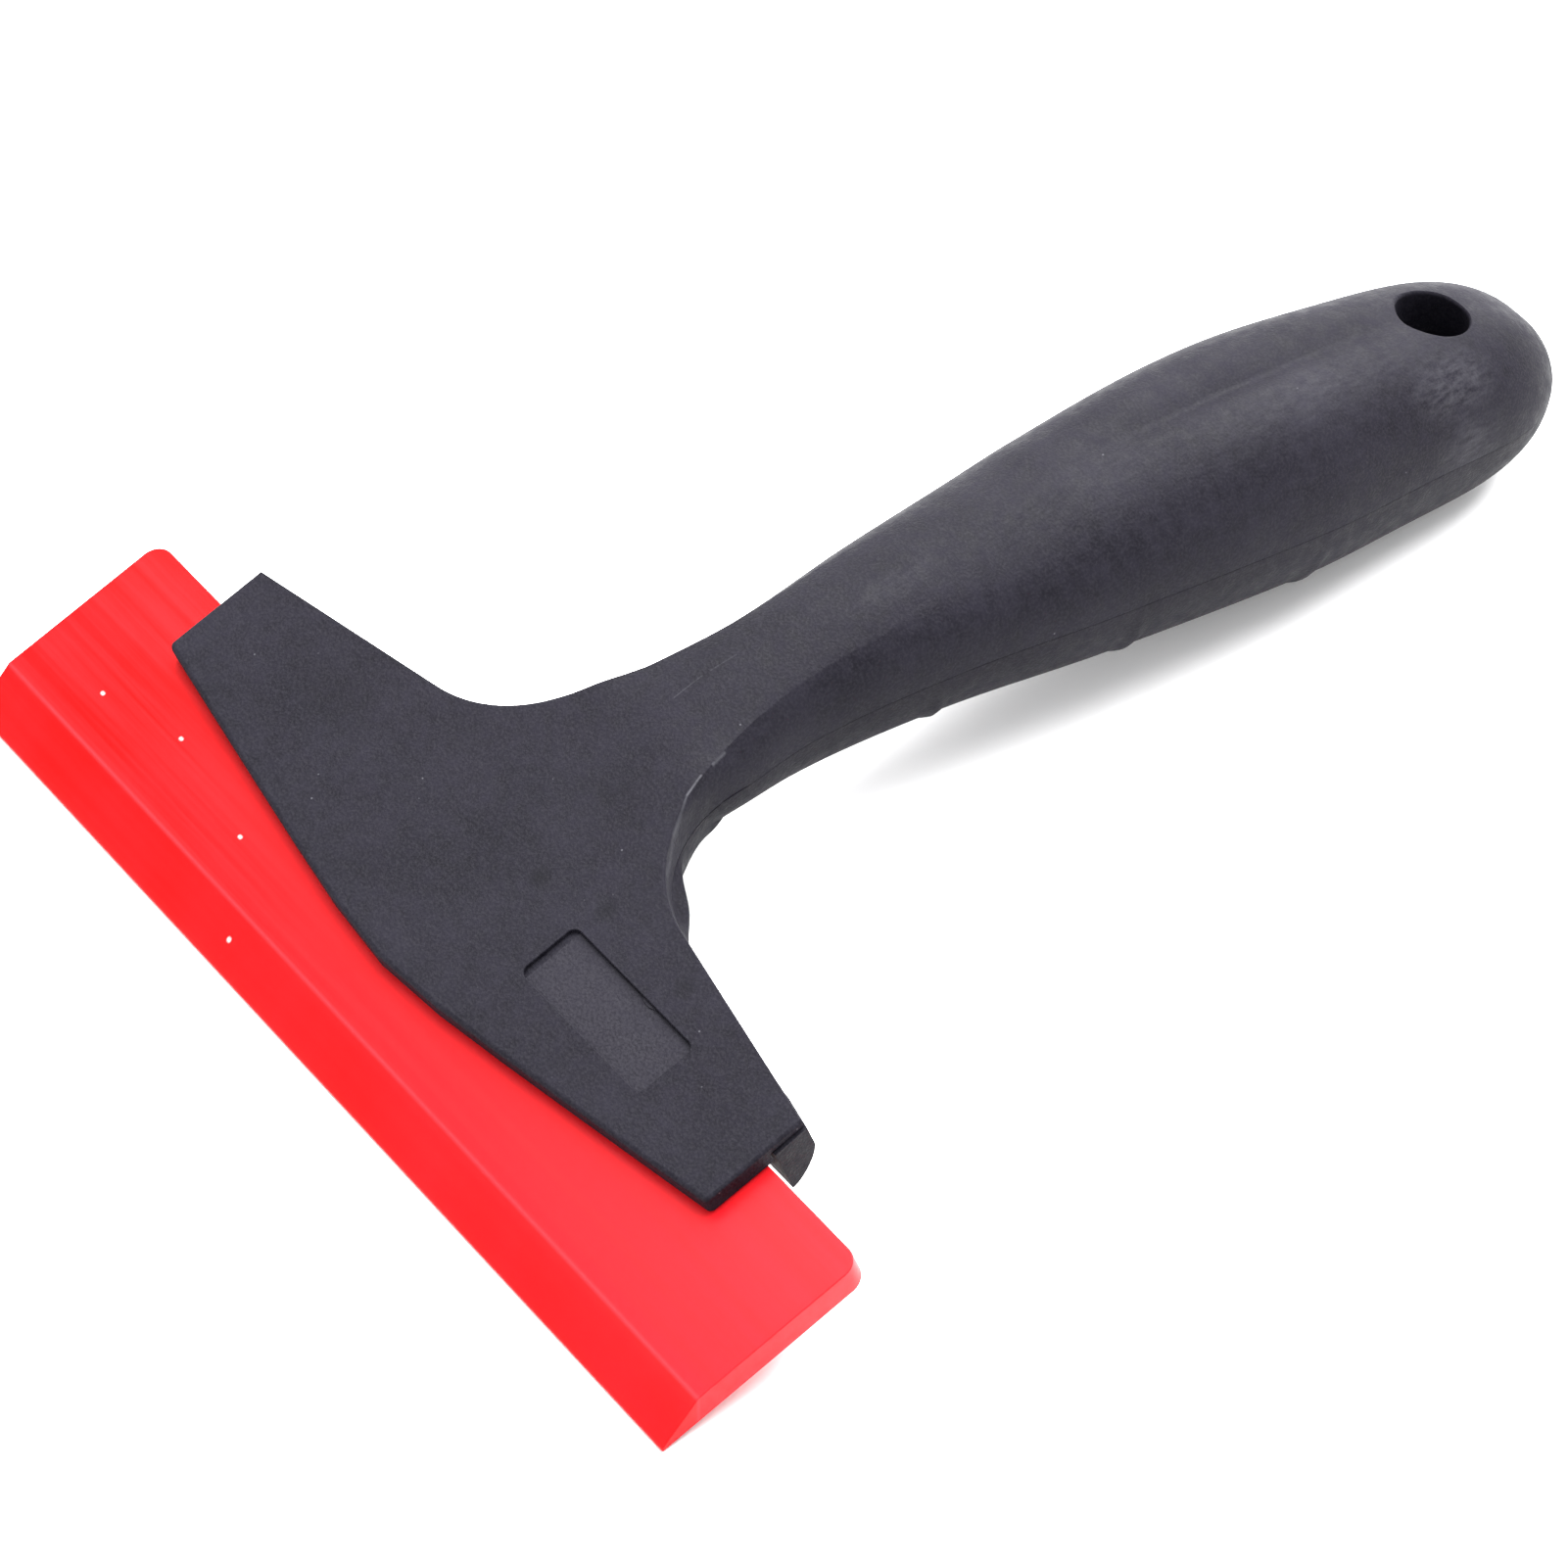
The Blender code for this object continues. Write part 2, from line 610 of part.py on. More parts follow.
def make_rear_shell(look):
    shell = rear_web(look)
    stations = grip_stations(face_y(GRIP_START))
    grip = loft("rear_grip_body", [rear_section(y) for y in stations], None)
    boolean(shell, grip, "UNION")
    boolean(shell, rear_jaw(), "UNION")
    boolean(shell, cavity_cutter("rear_cavity_cutter"), "DIFFERENCE")
    boolean(shell, hole_cutter("rear_hole_cutter"), "DIFFERENCE")
    for name, (x, y, seat, tip) in SCREWS.items():
        if name.startswith("head"):
            room = [(BOSS_RADIUS + GAP, 0.0), (BOSS_RADIUS + GAP, BOSS_DEPTH + GAP)]
            boolean(shell, turned(name + "_room_cutter", x, y, room), "DIFFERENCE")
        hole = [
            (SHANK_RADIUS + GAP, 0.0),
            (SHANK_RADIUS + GAP, seat),
            (SCREW_HEAD_RADIUS + GAP, seat),
            (SCREW_HEAD_RADIUS + GAP, seat + SCREW_WELL),
        ]
        boolean(shell, turned(name + "_hole_cutter", x, y, hole), "DIFFERENCE")
    return shell


def make_blade(look):
    """The blade: a bar with one beveled long edge and rounded back corners."""
    half = BLADE_LENGTH / 2
    radius = BLADE_CORNER_RADIUS
    corner = []
    for i in range(CORNER_STEPS + 1):
        angle = math.pi / 2 * i / CORNER_STEPS
        x = half - radius + radius * math.cos(angle)
        corner.append((x, BLADE_WIDTH - radius + radius * math.sin(angle)))
    back = corner + [(-x, d) for x, d in reversed(corner)]
    top = [(half, BEVEL_WIDTH)] + back + [(-half, BEVEL_WIDTH)]
    bottom = [(half, 0.0)] + back + [(-half, 0.0)]
    points = [on_blade(x, d, BLADE_THICKNESS) for x, d in top]
    points += [on_blade(x, d, 0.0) for x, d in bottom]
    count = len(top)
    points += [on_blade(half, 0.0, EDGE_LAND), on_blade(-half, 0.0, EDGE_LAND)]
    right, left = 2 * count, 2 * count + 1
    faces = [tuple(range(count)), tuple(range(2 * count - 1, count - 1, -1))]
    faces += [(i, i + 1, i + 1 + count, i + count) for i in range(1, count - 2)]
    faces.append((0, 1, 1 + count, count, right))
    faces.append((count - 2, count - 1, left, 2 * count - 1, 2 * count - 2))
    faces.append((count - 1, 0, right, left))
    faces.append((left, right, count, 2 * count - 1))
    return mesh_object("blade", points, faces, look)


def make_screw(name, x, y, seat, tip, look):
    """A pan-head screw, driven up from the underside."""
    top_of_head = seat + GAP / 2
    end = top_of_head + SCREW_HEAD_HEIGHT
    profile = [
        (TIP_RADIUS, tip),
        (SHANK_RADIUS, tip + TIP_LENGTH),
        (SHANK_RADIUS, top_of_head),
        (SCREW_HEAD_RADIUS, top_of_head),
        (SCREW_HEAD_RADIUS, end - HEAD_CHAMFER[1]),
        (SCREW_HEAD_RADIUS - HEAD_CHAMFER[0], end),
    ]
    screw = turned(name, x, y, profile)
    screw.data.materials.append(look)
    recess = [(DRIVE_RADII[0], end - DRIVE_DEPTH), (DRIVE_RADII[1], end + DRIVE_DEPTH / 2)]
    boolean(screw, turned(name + "_recess_cutter", x, y, recess, 6), "DIFFERENCE")
    return screw


def main():
    """Clears the scene and builds every piece."""
    for obj in list(bpy.data.objects):
        bpy.data.objects.remove(obj)
    shell_look = material("charcoal_plastic", (0.032, 0.032, 0.042), 0.55)
    back_look = material("charcoal_plastic_back", (0.026, 0.026, 0.034), 0.6)
    blade_look = material("red_polyurethane", (0.85, 0.035, 0.07), 0.35)
    screw_look = material("zinc_steel", (0.55, 0.56, 0.58), 0.35, 1.0)
    make_front_shell(shell_look)
    make_rear_shell(back_look)
    make_blade(blade_look)
    for name, (x, y, seat, tip) in SCREWS.items():
        make_screw(name, x, y, seat, tip, screw_look)


main()
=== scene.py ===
"""Looks of the hand squeegee applicator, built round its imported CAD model.

Lengths are in metres, in the frame of the CAD model: +X along the blade, +Y from the working edge
to the end of the grip, +Z up from the table. Every CAD node is replaced by a finer piece made from
the same driving sizes. The shells are described in coordinates that follow the crown of the handle:
x across it, y along it, and depth straight down from it.
"""

import math

import bmesh
import bpy
from mathutils import Matrix, Vector
from mathutils.bvhtree import BVHTree


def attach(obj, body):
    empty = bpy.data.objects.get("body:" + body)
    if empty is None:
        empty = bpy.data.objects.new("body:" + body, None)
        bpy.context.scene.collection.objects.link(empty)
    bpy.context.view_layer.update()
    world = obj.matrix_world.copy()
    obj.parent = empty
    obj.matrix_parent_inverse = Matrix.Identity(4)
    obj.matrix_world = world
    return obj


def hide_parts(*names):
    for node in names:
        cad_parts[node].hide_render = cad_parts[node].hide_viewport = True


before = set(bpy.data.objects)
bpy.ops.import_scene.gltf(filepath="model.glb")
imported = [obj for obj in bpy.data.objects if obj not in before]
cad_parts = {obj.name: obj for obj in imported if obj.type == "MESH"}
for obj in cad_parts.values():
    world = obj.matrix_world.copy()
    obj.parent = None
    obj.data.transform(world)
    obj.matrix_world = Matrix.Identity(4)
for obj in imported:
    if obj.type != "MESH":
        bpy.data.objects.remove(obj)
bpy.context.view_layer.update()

MM = 0.001

# Blade
BLADE_LENGTH = 127.0 * MM
BLADE_WIDTH = 26.9 * MM
BLADE_THICKNESS = 3.5 * MM
BEVEL_WIDTH = 5.8 * MM
EDGE_LAND = 0.5 * MM
BLADE_CORNER_RADIUS = 2.2 * MM

# Head
HEAD_PITCH = math.radians(18.7)
FACE_HEIGHT = 6.07 * MM
HEAD_X = -0.7 * MM
HEAD_HALF_WIDTH = 48.85 * MM
LIP_END = 19.25 * MM
LIP_SWEEP = 0.155
LIP_NOSE = 8.0 * MM
SWEEP_FADE = 6.0 * MM
BACK_CORNER = 32.1 * MM
BACK_EDGE_SLOPE = 0.179
NECK_FILLET = 15.5 * MM
NECK_HALF_WIDTH = 9.2 * MM
FILLET_FLARE = 1.3 * MM
FLARE_RISE_END = 0.25
FLARE_FALL_END = 0.6
FILLET_TUCK = 0.8 * MM

# Slot for the blade, and the rear jaw below it
GAP = 0.3 * MM
JOINT_GAP = 0.06 * MM
CUTTER_MARGIN = 1.5 * MM
SLOT_BACK = 27.9 * MM
COVER_THICKNESS = 0.87 * MM
SEAT_STEP = 0.03 * MM
WEB_OVERHANG = 0.35 * MM
WEB_END_DEPTH = 8.0 * MM
WEB_DEPTH = 9.4 * MM
JAW_DEPTH = 9.3 * MM
WEB_SHOULDER = 4.1 * MM
WEB_ROUNDING = 4.0 * MM
WEB_ROUNDING_POWER = 4 / 3
WEB_TOP_FRONT = 31.2 * MM
WEB_STEP = 0.4 * MM
WEB_TOP_DROP = 0.08 * MM
JAW_HALF_WIDTH = 44.0 * MM
JAW_SETBACK = 1.6 * MM
JAW_BACK = 30.1 * MM
GRIP_START = 34.0 * MM

# Handle. The tables give (y on the crown, value) in millimetres, and shares of the half width.
TOOL_LENGTH = 166.05 * MM
CROWN_END = 168.5
CROWN_SLOPES = ((46.0, math.tan(HEAD_PITCH)), (57.0, 0.165), (99.0, 0.0), (CROWN_END, -0.26))
HALF_WIDTHS = ((28.0, 8.8), (47.5, 9.3), (60.0, 8.15), (76.0, 9.65), (99.0, 12.5), (127.0, 13.93),
               (149.0, 12.74), (CROWN_END, 13.26))
HALF_DEPTHS = ((28.0, 4.3), (48.0, 6.6), (60.0, 8.3), (76.0, 9.65), (99.0, 11.5), (127.0, 12.5),
               (149.0, 11.97), (CROWN_END, 10.92))
CREASE_SHARES = ((28.0, 0.96), (42.0, 0.96), (50.0, 0.78), (60.0, 0.7), (76.0, 0.59), (99.0, 0.1),
                 (CROWN_END, 0.1))
CREASE_DROPS = ((28.0, 0.0), (44.0, 0.0), (50.0, 0.9), (60.0, 1.2), (76.0, 1.3), (99.0, 0.0),
                (CROWN_END, 0.0))
END_CAP = 29.1
END_CAP_POWER = 3.67
PARTING_SHARE = 0.48
PARTING_RISE = 0.25
PARTING_BLEND = 1.2 * MM
EDGE_RADIUS = 0.35 * MM
LIP_RADIUS = 0.7 * MM
FLANK_START = 40.0 * MM
FLANK_FULL = 50.0 * MM
CREASE_END = 85.0 * MM
CREASE_LEAD = 0.33
ROUND_LEAD = 0.5523
FLANK_REACH = 0.96
BELLY_FLAT_SHARE = 0.1
WALL = 2.4 * MM
CAVITY = (66.0 * MM, 119.0 * MM)
CAVITY_END_SHARE = 0.97
CAVITY_POWER = 6
RIDGES = (74.7 * MM, 100.3 * MM, 126.4 * MM)
RIDGE_HEIGHT = 0.32 * MM
RIDGE_HALF_LENGTH = 1.3 * MM
RIDGE_FADE = (0.05, 0.5)

# Recess in the face, and the hole for hanging
RECESS_CENTRE = (23.5 * MM, 25.8 * MM)
RECESS_SIZE = (20.8 * MM, 7.4 * MM)
RECESS_DEPTH = 0.55 * MM
RECESS_RADIUS = 1.0 * MM
HOLE_Y = 151.0 * MM
HOLE_RADIUS = 4.15 * MM
HOLE_RIM = 0.5 * MM
HOLE_MARGIN = 3.0 * MM
RECESS_CHAMFER = 0.07 * MM

# Screws: x, y on the crown, depth of the seat under the screw head and depth of the shank's tip
SHANK_RADIUS = 1.3 * MM
TIP_RADIUS = 0.5 * MM
TIP_LENGTH = 0.8 * MM
SCREW_HEAD_RADIUS = 2.6 * MM
SCREW_HEAD_HEIGHT = 1.7 * MM
DRIVE_DEPTH = 1.0 * MM
SCREW_WELL = 12.0 * MM
BOSS_RADIUS = 2.5 * MM
BOSS_TOP = 0.4 * MM
BOSS_DEPTH = 4.6 * MM
SCREWS = {
    "head_screw_left": (-26.0 * MM, 28.0 * MM, 7.0 * MM, 1.8 * MM),
    "head_screw_right": (26.0 * MM, 28.0 * MM, 7.0 * MM, 1.8 * MM),
    "neck_screw": (0.0, 58.0 * MM, 12.6 * MM, 3.6 * MM),
    "grip_screw": (0.0, 132.0 * MM, 20.0 * MM, 8.0 * MM),
}

# How finely the curved parts are divided
LIP_STEPS = 6
ROUND_STEPS = 5
OUTLINE_STEPS = 22
FLAT_STEPS = 5
FLANK_STEPS = 16
GRIP_STEPS = 64
END_STEPS = 28
END_STOP = 0.3
WEB_STEPS = 14
CORNER_STEPS = 14
CAVITY_SIDES = 20
CAVITY_RINGS = 10
ROUND_SIDES = 48
HOLE_SIDES = 96
RIM_STEPS = 6
DOME_STEPS = 8
JAW_STEPS = 8
EDGE_SEGMENTS = 3
SHARP_ANGLE = 32.0

# Half of the way from the working edge to the end of the grip
MIDDLE_Y = (TOOL_LENGTH - EDGE_LAND * math.sin(HEAD_PITCH)) / 2

# Fine shape that the CAD model leaves out: broken edges, threads, domed heads and cross recesses
BLADE_EDGE_RADIUS = 0.16 * MM
DRIVE_FLOOR = (1.0 * MM, 0.28 * MM)
DRIVE_TOP = (1.75 * MM, 0.42 * MM)
THREAD_PITCH = 0.9 * MM
THREAD_DEPTH = 0.25 * MM
DOME_ANGLE = math.radians(70.0)
DOME_RUN = 1.3 * MM
DOME_RISE = 1.1 * MM
RAY_HEIGHT = 0.1

# Patterns: scale, detail and roughness of each noise, and the levels that its mask runs between
CLOUDS = (95.0, 4.0)
MOTTLE = (620.0, 3.0)
GRAIN = (3200.0, 2.0)
SHADE_RANGE = (0.36, 0.64)
GRAIN_RANGE = (0.42, 0.72, 0.0, 0.42)
PALE_SPECKS = (560.0, 0.08, 0.1)
SPECK_STEP = 0.01
# Streaky noise that breaks up the scuffs and the painted sheen
SCUFF_AND_SHEEN_NOISE = (1400.0, 4.0, 0.7)
SCUFF_AND_SHEEN_STRETCH = (1.0, 0.3, 1.0)
SCUFF_AND_SHEEN_RANGE = (0.36, 0.66)
LINE_RANGE = (0.3, 0.6)
RECESS_RANGE = (0.35, 0.65, 0.3, 0.85)
PLASTIC_ROUGHNESS = (0.3, 0.7, 0.5, 0.7)
PLASTIC_BUMP = (0.6, 0.0002)
DRAWN = (700.0, 4.0, 0.65)
DRAWN_STRETCH = (0.02, 1.0, 1.0)
DRAWN_RANGE = (0.4, 0.62, 0.0, 0.6)
BLADE_CLOUDS = (60.0, 3.0)
BLADE_CLOUD_RANGE = (0.35, 0.7, 0.0, 0.25)
# Painted sheen on the blade: X where it starts and where it is full
BLADE_SHEEN_FADE = (-0.045, 0.06)
BLADE_SPECKS = (110.0, 0.03, 0.16)
BLADE_ROUGHNESS = (0.3, 0.7, 0.32, 0.45)
BLADE_BUMP = (0.2, 0.00006)
# Strength of the painted shade on the blade's bevel
BEVEL_SHADE_STRENGTH = 0.7
# Strength of the painted highlight along the bevel's crease
BEVEL_LINE = 0.45
ZINC_CLOUDS = (700.0, 4.0)
CLOUD_RANGE = (0.3, 0.7)
ZINC_ROUGHNESS = (0.3, 0.7, 0.24, 0.42)
ZINC_FINE = (9000.0, 2.0)
ZINC_BUMP = (0.12, 0.00003)
FLOOR_CLOUDS = (3.0, 2.0)

# Colours and surface values
PLASTIC_DARK = (0.0040, 0.0036, 0.0060)
PLASTIC_LIGHT = (0.0090, 0.0082, 0.0128)
REAR_DARK = (0.0035, 0.0031, 0.0050)
REAR_LIGHT = (0.0075, 0.0068, 0.0105)
SPECK_COLOUR = (0.019, 0.018, 0.023)
PALE_SPECK_COLOUR = (0.08, 0.08, 0.09)
# Pale colour of the scuffs and of the painted sheen along the crown
SCUFF_AND_SHEEN_COLOUR = (0.042, 0.041, 0.048)
SMUDGE_COLOUR = (0.003, 0.003, 0.004)
# Pale colour of the painted highlight along the neck's crease, and of the crown's scratch
HIGHLIGHT_AND_SCRATCH_COLOUR = (0.08, 0.08, 0.09)
RECESS_COLOUR = (0.017, 0.016, 0.021)
RECESS_FADE = 0.1 * MM
PLASTIC_SPECULAR = 0.06
RED = (0.85, 0.03, 0.05)
RED_DEEP = (0.4, 0.0004, 0.0006)
# Pale red of the painted sheen, also the pale tone of the blade's clouds
RED_PALE_SHEEN_AND_CLOUD = (0.48, 0.008, 0.013)
RED_STREAK = (0.5, 0.0065, 0.009)
# Deeper red of the painted shade on the bevel
RED_BEVEL_SHADE = (0.34, 0.0006, 0.001)
# Pale red of the painted highlight along the bevel's crease
RED_CREASE_HIGHLIGHT = (0.55, 0.03, 0.04)
WHITE_SPECK_COLOUR = (0.9, 0.5, 0.5)
BLADE_SPECULAR = 0.09
BLADE_MARK_SIZE = 0.28
BEVEL_LINE_WIDTH = 0.3 * MM
SCATTER_WEIGHT = 0.35
SCATTER_RADIUS = (1.0, 0.25, 0.28)
SCATTER_SCALE = 2.0 * MM
ZINC = (0.6, 0.6, 0.62)
ZINC_DARK = (0.52, 0.52, 0.54)
ZINC_LIGHT = (0.66, 0.66, 0.68)
FLOOR = (0.9, 0.9, 0.9)
FLOOR_DARK = (0.88, 0.88, 0.885)
FLOOR_LIGHT = (0.9, 0.9, 0.905)
FLOOR_ROUGHNESS = 0.9
FLOOR_SPECULAR = 0.2

# Marks on the plastic, in millimetres: pale scuffs with painted sheen, and dark smudges, as
# (centre, reach, strength)
SCUFFS_AND_SHEEN = (
    # The second and third are scuffs by the hole; the first, fourth and fifth are pale bands along
    # the crown, painted sheen.
    ((1.5, -8.0, 26.5), (2.2, 7.5, 4.0), 0.3),
    ((9.5, 64.5, 23.0), (5.5, 8.5, 6.0), 1.0),
    ((12.8, 64.0, 15.0), (4.0, 6.0, 6.0), 0.6),
    ((5.0, 45.0, 26.0), (5.0, 34.0, 8.0), 0.25),
    ((3.5, 18.0, 27.0), (5.0, 26.0, 8.0), 0.16),
)
SMUDGES = (
    ((4.8, -56.2, 15.5), (1.6, 1.6, 2.0), 0.7),
    ((13.4, -53.7, 16.3), (1.5, 1.8, 2.0), 0.6),
    ((26.8, -53.4, 16.4), (1.4, 1.6, 2.0), 0.5),
    ((-30.0, -58.0, 15.0), (9.0, 5.0, 3.0), 0.25),
    ((2.0, -46.0, 19.0), (7.0, 6.0, 4.0), 0.2),
)

# Fine pale lines on the plastic, in millimetres: start and end seen from above, width and strength
CREASE_HIGHLIGHT_AND_SCRATCH = (
    # The first four are a painted highlight along the neck's crease; the last two are a scratch on
    # the crown.
    ((14.3, -46.7), (11.2, -43.6), 0.16, 0.2),
    ((11.2, -43.6), (8.7, -40.0), 0.18, 0.35),
    ((8.7, -40.0), (7.8, -37.6), 0.2, 0.65),
    ((7.4, -35.8), (6.9, -33.9), 0.18, 0.4),
    ((-2.0, -33.9), (-2.1, -30.2), 0.12, 0.2),
    ((-2.0, -29.2), (-1.8, -26.0), 0.12, 0.15),
)

# Small white marks on the blade, in millimetres, seen from above
BLADE_MARKS = (
    ((-52.1, -73.7), (-51.9, -73.7)),
    ((-40.6, -71.1), (-40.4, -71.1)),
    ((-25.5, -73.6), (-25.3, -73.6)),
    ((-17.1, -80.8), (-16.9, -80.8)),
)

# Studio: floor, lights as (name, place, size, watts), and camera
FLOOR_HALF = 4.0
FLOOR_DROP = 0.03 * MM
FLOOR_SEGMENTS = 8
SURROUND = 1.5
LIGHTS = (
    ("soft_top", (-0.3, 0.5, 1.3), 1.8, 125.0),
    ("soft_back", (-0.9, 1.2, 0.9), 1.0, 26.0),
)
VIEW_AZIMUTH = 53.52
VIEW_ELEVATION = 46.0
VIEW_LENS = 161.3
VIEW_SENSOR = 36.0
VIEW_CLIP = 0.01
VIEW_TARGET = (0.0, 75.0 * MM - MIDDLE_Y, 12.0 * MM)
VIEW_DISTANCE = 748.84 * MM
VIEW_RIGHT = -10.638 * MM
VIEW_UP = -11.387 * MM


def mesh_object(name, points, faces, look):
    """An object from points and faces, with its faces turned outwards."""
    mesh = bpy.data.meshes.new(name)
    mesh.from_pydata(points, [], faces)
    made = bmesh.new()
    made.from_mesh(mesh)
    bmesh.ops.recalc_face_normals(made, faces=made.faces)
    made.to_mesh(mesh)
    made.free()
    obj = bpy.data.objects.new(name, mesh)
    bpy.context.scene.collection.objects.link(obj)
    if look is not None:
        mesh.materials.append(look)
    return obj


def boolean(target, tool, operation):
    """Joins or cuts target with a helper, which stays out of the render."""
    tool.hide_render = True
    tool.display_type = "WIRE"
    step = target.modifiers.new(tool.name, "BOOLEAN")
    step.operation = operation
    step.solver = "EXACT"
    step.object = tool


def finished(obj):
    """Applies the Booleans, removes their helpers and sets smooth shading with sharp edges."""
    graph = bpy.context.evaluated_depsgraph_get()
    mesh = bpy.data.meshes.new_from_object(obj.evaluated_get(graph))
    helpers = [step.object for step in obj.modifiers if step.type == "BOOLEAN"]
    obj.modifiers.clear()
    obj.data = mesh
    for helper in helpers:
        bpy.data.objects.remove(helper)
    mesh.shade_smooth()
    mesh.set_sharp_from_angle(angle=math.radians(SHARP_ANGLE))
    weighted = obj.modifiers.new("face_weighted_normals", "WEIGHTED_NORMAL")
    weighted.keep_sharp = True
    return obj


def smoothstep(low, high, value):
    """0 below low, 1 above high, and a smooth step between them."""
    share = min(max((value - low) / (high - low), 0.0), 1.0)
    return share * share * (3.0 - 2.0 * share)


def curve_through(knots, y):
    """A smooth curve through (y, value) knots in millimetres, read at y in metres."""
    at = min(max(y / MM, knots[0][0]), knots[-1][0])
    last = len(knots) - 1
    i = next(k for k in range(last) if at <= knots[k + 1][0])

    def tangent(k):
        low, high = knots[max(k - 1, 0)], knots[min(k + 1, last)]
        return (high[1] - low[1]) / (high[0] - low[0])

    (y0, v0), (y1, v1) = knots[i], knots[i + 1]
    span = y1 - y0
    t = (at - y0) / span
    ends = v0 * (1 + 2 * t) * (1 - t) ** 2 + v1 * t * t * (3 - 2 * t)
    bends = tangent(i) * span * t * (1 - t) ** 2 - tangent(i + 1) * span * t * t * (1 - t)
    return (ends + bends) * MM


def crown(y):
    """Height and slope of the crown. The slope changes evenly between the knots."""
    at = y / MM
    start, slope = CROWN_SLOPES[0]
    height = FACE_HEIGHT / math.cos(HEAD_PITCH) / MM + slope * start
    if at <= start:
        return (height + slope * (at - start)) * MM, slope
    for end, end_slope in CROWN_SLOPES[1:]:
        span = min(at, end) - start
        here = slope + (end_slope - slope) * span / (end - start)
        height += 0.5 * (slope + here) * span
        if at <= end:
            return height * MM, here
        start, slope = end, end_slope
    return (height + slope * (at - start)) * MM, slope


def on_handle(x, y, depth):
    """The point at x across, y along and depth below the crown."""
    height, slope = crown(y)
    tilt = math.atan(slope)
    along = y + depth * math.sin(tilt)
    return Vector((HEAD_X + x, along - MIDDLE_Y, height - depth * math.cos(tilt)))


def face_y(distance):
    """y on the crown of a point on the flat face, from its distance behind the working edge."""
    return distance * math.cos(HEAD_PITCH) - FACE_HEIGHT * math.sin(HEAD_PITCH)


def on_blade(x, distance, height):
    """The point at x along, distance behind the edge and height above the blade's underside."""
    along = distance * math.cos(HEAD_PITCH) - height * math.sin(HEAD_PITCH)
    up = distance * math.sin(HEAD_PITCH) + height * math.cos(HEAD_PITCH)
    return Vector((x, along - MIDDLE_Y, up))


def cap_share(y):
    """Share of the full section that is left at y, closing round the end of the grip."""
    t = min(max((y / MM - CROWN_END + END_CAP) / END_CAP, 0.0), 1.0)
    return math.sqrt(max(1.0 - t**END_CAP_POWER, 0.0))


def half_width(y):
    """Half of the grip's width at y."""
    return curve_through(HALF_WIDTHS, y) * cap_share(y)


def depths(y):
    """Depth of the grip's top and of its underside below the crown."""
    half = curve_through(HALF_DEPTHS, y)
    return half * (1.0 - cap_share(y)), half * (1.0 + cap_share(y))


def parting_depth(y):
    """Depth of the joint between the shells: close under the face, half-way down the grip."""
    top, bottom = depths(y)
    middle = top + PARTING_SHARE * (bottom - top)
    ramp = COVER_THICKNESS + PARTING_RISE * max(y - face_y(BACK_CORNER), 0.0)
    reach = max(PARTING_BLEND - abs(ramp - middle), 0.0)
    return max(min(ramp, middle) - reach * reach / (4.0 * PARTING_BLEND), COVER_THICKNESS)


def back_edge(x):
    """Distance of the head's straight back edge behind the working edge, at x."""
    return BACK_CORNER + BACK_EDGE_SLOPE * (HEAD_HALF_WIDTH - x)


def fillet_centre():
    """x and distance of the centre that the fillet from head to neck is turned round."""
    x = NECK_HALF_WIDTH + NECK_FILLET
    return x, back_edge(x) + NECK_FILLET * math.hypot(1.0, BACK_EDGE_SLOPE)


def back_outline(count):
    """(x, distance, share of the fillet passed) along the back edge, from corner to neck."""
    centre_x, centre = fillet_centre()
    first = math.atan(BACK_EDGE_SLOPE)
    start_x = centre_x - NECK_FILLET * math.sin(first)
    points = []
    for i in range(LIP_STEPS):
        x = HEAD_HALF_WIDTH + (start_x - HEAD_HALF_WIDTH) * i / LIP_STEPS
        points.append((x, back_edge(x), 0.0))
    for i in range(count + 1):
        angle = first + (math.pi / 2 - first) * i / count
        x = centre_x - NECK_FILLET * math.sin(angle)
        points.append((x, centre - NECK_FILLET * math.cos(angle), i / count))
    return points


def swept(x, edge_x, edge_distance, sweep):
    """Distance, at x, of a shallow V with a round nose that ends at edge_x, edge_distance."""
    return edge_distance - sweep * (math.hypot(edge_x, LIP_NOSE) - math.hypot(x, LIP_NOSE))


def grip_stations(first):
    """y of the grip's sections: even steps, extra ones at the ridges, closer round the end."""
    cap = (CROWN_END - END_CAP) * MM
    steps = [first + (cap - first) * i / GRIP_STEPS for i in range(GRIP_STEPS + 1)]
    clear = [y for y in steps if min(abs(y - ridge) for ridge in RIDGES) > 1.2 * RIDGE_HALF_LENGTH]
    ridges = [ridge + RIDGE_HALF_LENGTH * k / 2 for ridge in RIDGES for k in range(-2, 3)]
    end = []
    for i in range(1, END_STEPS + 1):
        angle = math.pi / 2 * i / (END_STEPS + END_STOP)
        end.append(cap + END_CAP * MM * math.sin(angle))
    return sorted(clear + ridges) + end


def loft(name, sections, look):
    """A closed body through sections that each hold an outer row and an inner row of points."""
    rows = len(sections[0][0])
    points = [p for outer, inner in sections for p in (*outer, *inner)]
    stride = 2 * rows
    faces = []
    for s in range(len(sections) - 1):
        for i in range(rows - 1):
            a = s * stride + i
            faces.append((a, a + 1, a + 1 + stride, a + stride))
            b = a + rows
            faces.append((b + 1, b, b + stride, b + 1 + stride))
        for side in (0, rows - 1):
            a = s * stride + side
            faces.append((a, a + rows, a + rows + stride, a + stride))
    for s in (0, len(sections) - 1):
        for i in range(rows - 1):
            a = s * stride + i
            faces.append((a, a + 1, a + 1 + rows, a + rows))
    return mesh_object(name, points, faces, look)


